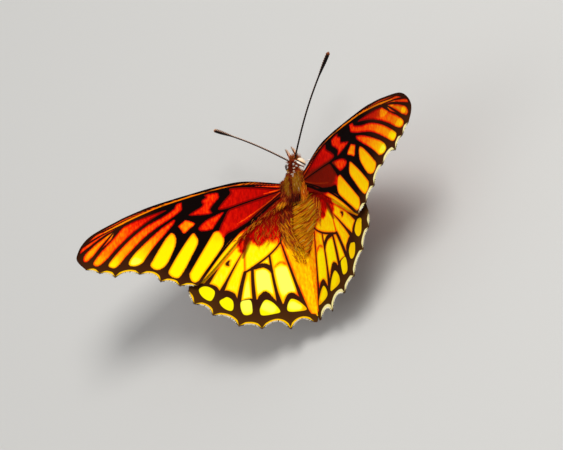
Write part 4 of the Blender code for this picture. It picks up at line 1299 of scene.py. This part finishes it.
def makeWingHair(name, seed):
    wing, side, clumps, each, zone, headings, length, width, tones, loft, sway = hairGroups[name]
    near, far = np.array(headings)
    tone, spread, toneRise = tones
    bed = hairBed
    rng = np.random.default_rng(seed)
    corners = np.array(zone)
    low, high = corners.min(0), corners.max(0)
    spots = rng.uniform(low, high, (clumps * bed["tries"], 2))
    spots = evenSpots(spots[insideOf(spots, corners)], clumps, unit(near + far), length)
    spots = spots + rng.normal(0, bed["scatter"], spots.shape)
    tones = rng.normal(tone, spread, len(spots)) + toneRise * (high[1] - spots[:, 1]) / (high[1] - low[1])
    turns = rng.uniform(0, 2 * math.pi, len(spots))
    drift = rng.normal(0, bed["drift"], (len(spots), 2))
    shared = np.repeat(np.arange(len(spots)), each)
    count = len(shared)
    x, y = (spots[shared] + rng.normal(0, width * bed["clump"], (count, 2))).T
    rearward = ((high[1] - y) / (high[1] - low[1]))[:, None]
    heading = unit(near * (1 - rearward) + far * rearward + drift[shared])
    size = length * rng.uniform(*bed["lengths"], count)
    if wing is hindwing:
        size = np.minimum(size, roomToFold(side, x, y, heading))
    keep = size > bed["shortest"]
    x, y, heading, size, shared = x[keep], y[keep], heading[keep], size[keep], shared[keep]
    count = len(x)
    turn = turns[shared] + rng.normal(0, bed["turnSpread"], count)
    lift = rng.uniform(*bed["lofts"], count) * loft
    lines = []
    for step in range(bed["steps"]):
        t = step / (bed["steps"] - 1)
        wave = size * sway * (np.sin(turn + 5 * t) - np.sin(turn))
        atX = x + heading[:, 0] * size * t - heading[:, 1] * wave
        atY = y + heading[:, 1] * size * t + heading[:, 0] * wave
        ground = bedHeight(wing, atX, atY) if step else wingHeight(wing, atX, atY) - bed["sunk"]
        rise = (bed["above"] + lift * math.sin(2.4 * t)) * min(1, 3 * t)
        lines.append(np.stack([side * atX, atY, ground + rise], axis=1))
    lines = np.stack(lines, axis=1)
    normal = wingNormal(wing, x, y) * np.array([side, 1, 1])
    thick = width * rng.uniform(*bed["widths"], count)
    shade = tones[shared] + rng.normal(0, bed["toneSpread"], count)
    piece = makeLocks(name, lines, normal, thick, shade, wingSpot(x, y, side))
    placePiece(piece, "root", [], warmFinish)


fold = {"seed": 39, "locks": 90, "start": (0.25, 0.72), "length": 0.28, "height": 0.42, "width": 0.04,
        "scatter": 0.03, "tone": (0.62, 0.04)}


def makeFold():
    # One bright ridge of hair where the locks of both hindwings meet
    rng = np.random.default_rng(fold["seed"])
    count = fold["locks"]
    start = rng.uniform(*fold["start"], count)
    line = evenLine(foldLine[1:5], 0.05)
    lines = []
    for step in range(5):
        place = np.clip((start + fold["length"] * step / 4) * len(line), 0, len(line) - 1).astype(int)
        atX, atY = line[place].T
        atX = atX + rng.normal(0, fold["scatter"], count)
        lines.append(np.stack([atX, atY, bedHeight(hindwing, atX, atY) + fold["height"]], axis=1))
    lines = np.stack(lines, axis=1)
    normal = np.tile([0.0, 0.0, 1.0], (count, 1))
    spot = wingSpot(np.abs(lines[:, 0, 0]), lines[:, 0, 1], 1)
    tone = rng.normal(*fold["tone"], count)
    piece = makeLocks("foldRidge", lines, normal, np.full(count, fold["width"]), tone, spot)
    placePiece(piece, "root", [], warmFinish)


for index, name in enumerate(hairGroups):
    makeWingHair(name, hairBed["seed"] + index)
makeFold()


# Fringe: short blades along the outer margin, pale in the hollows and dark at the vein ends

fringe = {
    "seed": 60, "spacing": 0.1, "length": 0.34, "width": 0.055, "sunk": 0.08, "paleFrom": (0.35, 1.0),
    "paleShare": 0.92, "paleTone": (0.97, 0.03), "darkTone": (0.1, 0.05), "wingMiddle": (10.0, -8.0),
}


def makeFringe(name, wing, side):
    rng = np.random.default_rng(fringe["seed"] + side)
    margin = evenLine(wingOutline(wing)[1], fringe["spacing"])
    x, y = margin.T
    count = len(x)
    ahead = unit(np.gradient(margin, axis=0))
    outward = np.stack([ahead[:, 1], -ahead[:, 0]], axis=1)
    outward *= np.sign(((margin - fringe["wingMiddle"]) * outward).sum(axis=1))[:, None]
    tipAway = np.min(np.linalg.norm(margin[:, None] - np.array(wing["tips"])[None], axis=2), axis=1)
    pale = smoothStep(tipAway, *fringe["paleFrom"])
    size = fringe["length"] * (0.75 + 0.35 * pale) * rng.uniform(0.8, 1.2, count)
    lines = []
    for t in (0.0, 0.5, 1.0):
        at = margin + outward * (size * t - fringe["sunk"])[:, None]
        height = wingHeight(wing, at[:, 0], at[:, 1])
        lines.append(np.stack([side * at[:, 0], at[:, 1], height], axis=1))
    lines = np.stack(lines, axis=1)
    normal = wingNormal(wing, x, y) * np.array([side, 1, 1])
    isPale = rng.random(count) < pale * fringe["paleShare"]
    tone = np.where(isPale, rng.normal(*fringe["paleTone"], count), rng.normal(*fringe["darkTone"], count))
    width = fringe["width"] * rng.uniform(0.8, 1.2, count)
    piece = makeLocks(name, lines, normal, width, tone, wingSpot(x, y, side))
    placePiece(piece, "root", [], warmFinish)


for side, label in bothSides:
    makeFringe(f"forewingFringe_{label}", forewing, side)
    makeFringe(f"hindwingFringe_{label}", hindwing, side)
print("wing hair made")


# Head parts: banded eyes, scaled palps, coiled tongue and ringed feelers

head = {
    "eyeAt": (1.35, 4.2, -1.0),
    "eyeRadii": (0.83, 0.99, 1.09),
    "bandAxis": (0.69, 0.72, -0.06),
    "palp": [(0.6, 4.7, -1.7), (0.62, 5.6, -1.75), (0.75, 6.15, -0.9), (0.72, 6.9, -0.18), (0.7, 7.4, 0.4)],
    "palpRadii": [0.28, 0.33, 0.32, 0.24, 0.07],
    "tongueAt": (5.45, -3.8),
    "tongueOuter": 1.02,
    "tonguePitch": 0.7,
    "tongueTurns": 1.1,
    "tongueStart": math.radians(110),
    "tongueSteps": 34,
    "tongueRoot": [(0, 4.8, -1.6), (0, 4.85, -2.2)],
    "tongueRadii": (0.2, 0.18, 0.08),  # at the root, where the coil begins, and what it loses on its way
    "tongueRidges": 26,
    "feelerFrom": (0.62, 5.05, -0.2),
    "feelerTo": {"left": (-16.35, 17.95, 0.7), "right": (13.45, 22.1, 1.8)},
    "feelerBow": {"left": 0.4, "right": 0.8},
    "feelerRadius": 0.18,
    "clubRadius": 0.4,
    "clubStart": 0.76,
    "feelerRings": 46,
    "ringParts": ((0.0, 0.82), (0.25, 1.0), (0.75, 1.0)),  # place in a ring, share of its radius
    "socketShare": 1.5,
    "tipLength": 0.25,
    "tipRadius": 0.1,
    "tipTone": {"left": 0.8, "right": 0.64},
    # the way that the painted highlight on the feelers faces
    "highlightWay": (-0.1, 0.86, 0.5),
    "tubeBevel": 3,
}


def makeTube(name, points, radii, steps):
    # A rounded tube along a smooth line, made as a bevelled curve and turned into a mesh
    line = smoothLine([tuple(point) + (radius,) for point, radius in zip(points, radii)], steps)
    curve = bpy.data.curves.new(name, "CURVE")
    curve.dimensions = "3D"
    curve.bevel_depth = 1
    curve.bevel_resolution = head["tubeBevel"]
    curve.use_fill_caps = True
    spline = curve.splines.new("POLY")
    spline.points.add(len(line) - 1)
    for point, (x, y, z, radius) in zip(spline.points, line):
        point.co = (x, y, z, 1)
        point.radius = radius
    piece = bpy.data.objects.new(name, curve)
    bpy.context.scene.collection.objects.link(piece)
    selectOnly([piece])
    bpy.ops.object.convert(target="MESH")
    piece = bpy.context.object
    piece.name = name
    piece.data.shade_smooth()
    return piece


def joinPieces(name, pieces):
    selectOnly(pieces[::-1])
    bpy.ops.object.join()
    piece = bpy.context.object
    piece.name = name
    return piece


def pointsOf(piece):
    at = np.empty(len(piece.data.vertices) * 3)
    piece.data.vertices.foreach_get("co", at)
    return at.reshape(-1, 3)


# Dark bands, with a white band and a cream ground that are painted light
eyeStops = [
    (0.0, "#180604"), (0.2, "#2A0A04"), (0.3, "#3A0E06"), (0.33, "#FBEFE0"), (0.455, "#FFF4E6"),
    (0.49, "#0C0403"), (0.59, "#120504"), (0.62, "#E8A060"), (0.68, "#FFE0B4"), (0.86, "#FFEBCB"),
    (1.0, "#F0B890"),
]


def eyeMaterial():
    # Glossy faceted eye: dark bands across a brown to cream ground, or dark all over where pale is 0; the
    # cream ground and the white band are painted light
    material, tree, shader = startMaterial("faceted eye", {
        "Roughness": 0.28, "Specular IOR Level": 0.4, "Coat Weight": 0.15, "Coat Roughness": 0.1})
    ramp = rampNode(tree, fieldNode(tree, "tone"), eyeStops)
    tint = addNode(tree, "ShaderNodeMix", {"data_type": "RGBA", 6: paint("#2A0A04")},
                   {0: fieldNode(tree, "pale"), 7: ramp}).outputs[2]
    tree.links.new(tint, shader.inputs["Base Color"])
    place = addNode(tree, "ShaderNodeTexCoord").outputs["Object"]
    cells = addNode(tree, "ShaderNodeTexVoronoi", {"Scale": 16000.0, "Randomness": 0.25},
                    {"Vector": place}).outputs["Distance"]
    addBump(tree, shader, cells, 0.35, 0.000015, inward=True)
    return material


eyeFinish = eyeMaterial()
cuticleFinish = toneMaterial("dark cuticle", [
    (0.0, "#050303"), (0.3, "#140A07"), (0.6, "#7A3A1A"), (0.8, "#E8C8A8"), (1.0, "#FFF8F4"),
], {"roughness": 0.6, "specular": 0.08, "grain": (9000, 9000, 9000), "detail": 2.0, "breakUp": (0.0, 0.0),
    "relief": 0.5, "depth": 0.00002})
scaledFinish = toneMaterial("scaled limb", [
    (0.0, "#160604"), (0.2, "#3E0C06"), (0.46, "#B85006"), (0.75, "#E8B890"), (0.86, "#FFC8B0"),
    (1.0, "#FFFAF6"),
], {"roughness": 0.6, "specular": 0.12, "grain": (5000, 5000, 5000), "detail": 2.0, "breakUp": (-0.06, 0.06),
    "relief": 0.5, "depth": 0.00003})


def makeEye(name, side):
    x, y, z = head["eyeAt"]
    piece = makeBall((side * x, y, z), head["eyeRadii"], 48, 32)
    piece.data.shade_smooth()
    piece.name = f"eyeball_{name}"
    at = pointsOf(piece) * np.array([side, 1, 1])
    setField(piece, "tone", 0.5 + 0.5 * (at - np.array(head["eyeAt"])) @ np.array(head["bandAxis"]))
    # Painted light: only the right eye gets the pale ground with its white band; the left eye stays dark
    setField(piece, "pale", np.full(len(at), float(side > 0)))
    placePiece(piece, "root", [f"eye_{name}"], eyeFinish)


def palpTone(at, out):
    # Painted light and shade: dark where the palp faces the model's left, pinkish white where it faces the
    # right; the hairy lower joint is orange brown, paler where it faces the right on the right palp
    tone = 0.16 + 0.7 * smoothStep(out[:, 0], 0.0, 0.35)
    low = smoothStep(at[:, 1], 6.5, 6.1)
    brown = 0.46 + 0.52 * smoothStep(out[:, 0], 0.35, 0.6) * (at[:, 0] > 0)
    return np.clip(tone * (1 - low) + brown * low, 0, 1)


def makePalp(name, side):
    piece = makeTube(f"palpBody_{name}", [(side * x, y, z) for x, y, z in head["palp"]], head["palpRadii"], 8)
    at, out, corners = meshArrays(piece)
    setField(piece, "tone", palpTone(at, out))
    placePiece(piece, "root", [f"palp_{name}"], scaledFinish)
    rng = np.random.default_rng(80 + side)
    root, facing = scatter(at, out, corners, 520, lambda spots: np.ones(len(spots)), rng)
    forward = 0.7 - smoothStep(root[:, 1], 6.6, 7.3)
    upward = smoothStep(root[:, 1], 5.8, 7.0) - 0.2
    ahead = np.stack([np.zeros(len(root)), forward, upward], axis=1)
    ahead = ahead + rng.normal(0, 0.15, ahead.shape)
    flow = unit(ahead - facing * (ahead * facing).sum(axis=1, keepdims=True))
    size = rng.uniform(0.22, 0.42, len(root))
    lines = curvedLines(root, facing, flow, size, 0.45, 0.25, 0.04, 3, rng)
    shade = palpTone(root, facing) + rng.normal(0, 0.05, len(root))
    spot = np.stack([0.5 + side * (0.1 + 0.3 * (facing[:, 0] + 1) / 2), (root[:, 1] - 4) / 5], axis=1)
    scales = makeLocks(f"palpScales_{name}", lines, facing, np.full(len(root), 0.03), shade, spot)
    placePiece(scales, "root", [], furFinish)


def makeTongue():
    middleY, middleZ = head["tongueAt"]
    rootRadius, firstRadius, loss = head["tongueRadii"]
    steps = head["tongueSteps"]
    points = list(head["tongueRoot"])
    radii = [rootRadius] * len(points)
    for step in range(steps + 1):
        turn = head["tongueStart"] - 2 * math.pi * head["tongueTurns"] * step / steps
        reach = head["tongueOuter"] - head["tonguePitch"] * head["tongueTurns"] * step / steps
        points.append((0, middleY + reach * math.cos(turn), middleZ + reach * math.sin(turn)))
        radii.append(firstRadius - loss * step / steps)
    piece = makeTube("tongueCoil", points, radii, 3)
    at = pointsOf(piece)
    turn = np.arctan2(at[:, 2] - middleZ, at[:, 1] - middleY)
    setField(piece, "tone", 0.28 + 0.1 * np.sin(turn * head["tongueRidges"]))
    placePiece(piece, "root", ["proboscis"], cuticleFinish)


def makeFeeler(label, side):
    x, y, z = head["feelerFrom"]
    start, end = Vector((side * x, y, z)), Vector(head["feelerTo"][label])
    along = end - start
    bend = Vector((0, 0, 1)).cross(along).normalized() * side * head["feelerBow"][label]
    points, radii = [], []
    rings = head["feelerRings"]
    for ring in range(rings + 1):
        for part, narrow in head["ringParts"]:
            t = (ring + part) / (rings + 1)
            swell = min(1, max(0, (t - head["clubStart"]) / (1 - head["clubStart"])))
            club = math.sin(math.pi * 0.62 * swell) ** 1.5
            radius = head["feelerRadius"] + (head["clubRadius"] - head["feelerRadius"]) * club
            points.append(start.lerp(end, t) + bend * math.sin(math.pi * t))
            radii.append(radius * (narrow if ring else head["socketShare"]))
    points.append(end + along.normalized() * head["tipLength"])
    radii.append(head["tipRadius"])
    piece = makeTube(f"feelerShaft_{label}", points, radii, 1)
    at, out, _ = meshArrays(piece)
    share = (at - np.array(start)) @ np.array(along) / along.length_squared
    rim = np.abs((share * (rings + 1)) % 1 - 0.06) < 0.12
    tip = smoothStep(share, 0.965, 1.0)
    # Painted highlight: a white line along the side of each feeler that faces up and forward
    paintedHighlight = smoothStep(out @ np.array(head["highlightWay"]), 0.5, 0.75) * 0.92
    dark = np.maximum(np.where(rim, 0.24, 0.05), paintedHighlight)
    setField(piece, "tone", dark * (1 - tip) + head["tipTone"][label] * tip)
    placePiece(piece, "root", [f"antenna_{label}"], cuticleFinish)


makeTongue()
for side, label in bothSides:
    makeEye(label, side)
    makePalp(label, side)
    makeFeeler(label, side)
print("head parts made")


# Legs: thigh, shin and a five-part foot with spines and two claws; the forelegs are small and folded

legs = {
    "fore": {
        "body": [(0.9, 1.6, -1.7), (1.9, 2.9, -2.6), (3.1, 4.3, -2.5), (2.5, 4.75, -2.45), (1.6, 5.0, -2.65)],
        "radii": [0.3, 0.24, 0.15, 0.14, 0.09],
    },
    "mid": {
        "root": (1.3, -0.4, -1.9),
        "floor": [(4.9, 1.9, 5.6), (6.85, 3.25, 0.6), (7.2, 3.9, 0.13), (8.3, 6.7, 0.13)],
    },
    "hind": {
        "root": (1.2, -3.2, -1.9),
        "floor": [(4.8, -7.4, 5.4), (6.2, -11.2, 0.65), (6.4, -11.9, 0.13), (7.5, -15.2, 0.13)],
    },
    "thigh": [0.36, 0.33, 0.24],
    "shin": [0.2, 0.19, 0.16, 0.19],
    "foot": 0.13,
    "footParts": 5,
    "footPart": 0.86,  # how much of its length each part of the foot is thick
    "spineRows": {
        # number, first place and gap as shares of the limb, distance outward and upward from its middle,
        # then each spine's lean outward, along the limb and upward
        "shin": (7, 0.18, 0.12, 0.12, 0.0, 0.7, 1.0, 0.2),
        "foot": (8, 0.06, 0.12, 0.07, 0.02, 1.0, 1.2, 0.0),
    },
    "spine": (0.252, 0.028),  # length, radius
    "claw": (0.3, 0.05),
    "clawApart": (0.05, 0.7),
    "coneSides": 5,
    "coneSunk": 0.05,
    "tone": 0.36,
    "footTone": (0.32, 3.0, 0.8),  # change of tone, and the heights between which it sets in
    "thighTone": (0.3, 4.4, 5.4),
}


def cones(name, roots, ways, length, radius):
    # Small spines or claws, each a cone that is sunk a little in its limb
    sides = legs["coneSides"]
    verts, faces = [], []
    for root, way in zip(roots, ways):
        way = Vector(way).normalized()
        across = way.orthogonal().normalized()
        other = way.cross(across)
        first = len(verts)
        base = Vector(root) - way * legs["coneSunk"]
        for k in range(sides):
            turn = 2 * math.pi * k / sides
            verts.append(base + (across * math.cos(turn) + other * math.sin(turn)) * radius)
        verts.append(base + way * length)
        faces += [(first + k, first + (k + 1) % sides, first + sides) for k in range(sides)]
        faces.append(tuple(first + k for k in reversed(range(sides))))
    return meshPiece(name, verts, faces)


def makeWalkingLeg(pair, label, side):
    fromFloor = onFloor.inverted()
    x, y, z = legs[pair]["root"]
    hip = Vector((side * x, y, z))
    knee, ankle, heel, toe = [
        fromFloor @ Vector((side * x, y + stance["backForward"], z)) for x, y, z in legs[pair]["floor"]]
    down = (fromFloor.to_3x3() @ Vector((0, 0, -1))).normalized()
    shinPoints = [knee - (ankle - knee) * 0.02, knee.lerp(ankle, 0.3), knee.lerp(ankle, 0.8), ankle]
    pieces = [
        makeTube("thigh", [hip, hip.lerp(knee, 0.5), knee], legs["thigh"], 6),
        makeTube("shin", shinPoints, legs["shin"], 6),
    ]
    footPoints, footRadii = [ankle], [legs["foot"] * 1.1]
    parts = legs["footParts"]
    for part in range(parts):
        footPoints += [heel.lerp(toe, part / parts), heel.lerp(toe, (part + legs["footPart"]) / parts)]
        footRadii += [legs["foot"] * 0.8, legs["foot"]]
    pieces.append(makeTube("foot", footPoints, footRadii, 2))
    roots, ways = [], []
    for limb, first, last in (("shin", knee, ankle), ("foot", heel, toe)):
        number, start, gap, outward, upward, leanOut, leanAlong, leanUp = legs["spineRows"][limb]
        along = (last - first).normalized()
        across = along.cross(down).normalized()
        for step in range(number):
            for turn in (-1, 1):
                roots.append(first.lerp(last, start + gap * step) + across * turn * outward - down * upward)
                ways.append(across * turn * leanOut + along * leanAlong - down * leanUp)
    pieces.append(cones("spines", roots, ways, *legs["spine"]))
    apart, spread = legs["clawApart"]
    clawRoots = [toe + across * turn * apart for turn in (-1, 1)]
    clawWays = [along + across * turn * spread for turn in (-1, 1)]
    pieces.append(cones("claws", clawRoots, clawWays, *legs["claw"]))
    piece = joinPieces(f"{pair}legBody_{label}", pieces)
    height = np.array([tuple(toWorld @ Vector(p)) for p in pointsOf(piece)])[:, 2] / stance["metresPerMm"]
    tone = legs["tone"] + stepIn(height, legs["footTone"]) + stepIn(height, legs["thighTone"])
    setField(piece, "tone", tone)
    placePiece(piece, "root", [f"{pair}leg_{label}"], scaledFinish)


def makeForeleg(label, side):
    points = [(side * x, y, z) for x, y, z in legs["fore"]["body"]]
    piece = makeTube(f"forelegBody_{label}", points, legs["fore"]["radii"], 6)
    at = pointsOf(piece)
    setField(piece, "tone", 0.8 + 0.2 * smoothStep(np.abs(at[:, 0]), 1.2, 2.0))
    placePiece(piece, "root", [f"foreleg_{label}"], scaledFinish)


for side, label in bothSides:
    makeForeleg(label, side)
    for pair in ("mid", "hind"):
        makeWalkingLeg(pair, label, side)
print("legs made")


# Studio: pale floor, soft lights, and a camera at the photograph's angle

view = {
    "right": Vector((0.78626, -0.14222, -0.60131)),
    "up": Vector((0.35984, 0.8965, 0.25847)),
    "back": Vector((0.50231, -0.4196, 0.75606)),
    "distance": 700.0,
    "pictureWidth": 563,
    "pictureHeight": 450,
    "originAt": (295.29, 183.38),  # where the body's own origin stands in the picture, in pixels
    "pixelsPerMm": 5.2,
    "sensor": 36.0,
}
lights = [  # name, size, power, place in metres
    ("key", 0.3, 4.4, (0.4, 0.1, 0.69)),
    ("fill", 0.5, 0.6, (-0.45, -0.35, 0.6)),
]


def makeCamera():
    camera = bpy.data.objects.new("camera", bpy.data.cameras.new("camera"))
    bpy.context.scene.collection.objects.link(camera)
    aimX = (view["pictureWidth"] / 2 - view["originAt"][0]) / view["pixelsPerMm"]
    aimY = (view["originAt"][1] - view["pictureHeight"] / 2) / view["pixelsPerMm"]
    target = view["right"] * aimX + view["up"] * aimY
    stand = view["back"] * view["distance"]
    back = (stand - target).normalized()
    right = view["up"].cross(back).normalized()
    up = back.cross(right)
    turn = Matrix((right, up, back)).transposed().to_4x4()
    world = toWorld @ Matrix.Translation(stand) @ turn
    camera.matrix_world = Matrix.LocRotScale(world.to_translation(), world.to_quaternion(), None)
    camera.data.sensor_width = view["sensor"]
    camera.data.lens = view["pixelsPerMm"] * view["distance"] * view["sensor"] / view["pictureWidth"]
    camera.data.clip_start = 0.01
    camera.data.clip_end = 20
    bpy.context.scene.camera = camera


def makeStudio():
    bpy.ops.object.select_all(action="DESELECT")
    bpy.ops.mesh.primitive_plane_add(size=6, location=(0, 0, 0))
    floor = bpy.context.object
    floor.name = "floor"
    finish = startMaterial("matt pale floor", {"Roughness": 0.85, "Base Color": paint("#CFCDC8")})[0]
    floor.data.materials.append(finish)
    world = bpy.data.worlds.new("studio")
    bpy.context.scene.world = world
    world.use_nodes = True
    sky = world.node_tree.nodes["Background"]
    sky.inputs["Color"].default_value = paint("#F4F6FA")
    sky.inputs["Strength"].default_value = 0.5
    for name, size, power, place in lights:
        light = bpy.data.objects.new(name, bpy.data.lights.new(name, "AREA"))
        light.data.size = size
        light.data.energy = power
        light.location = place
        light.rotation_mode = "QUATERNION"
        light.rotation_quaternion = (-Vector(place)).to_track_quat("-Z", "Y")
        bpy.context.scene.collection.objects.link(light)
    bpy.context.scene.view_settings.view_transform = "Standard"


makeCamera()
makeStudio()
print("studio ready")
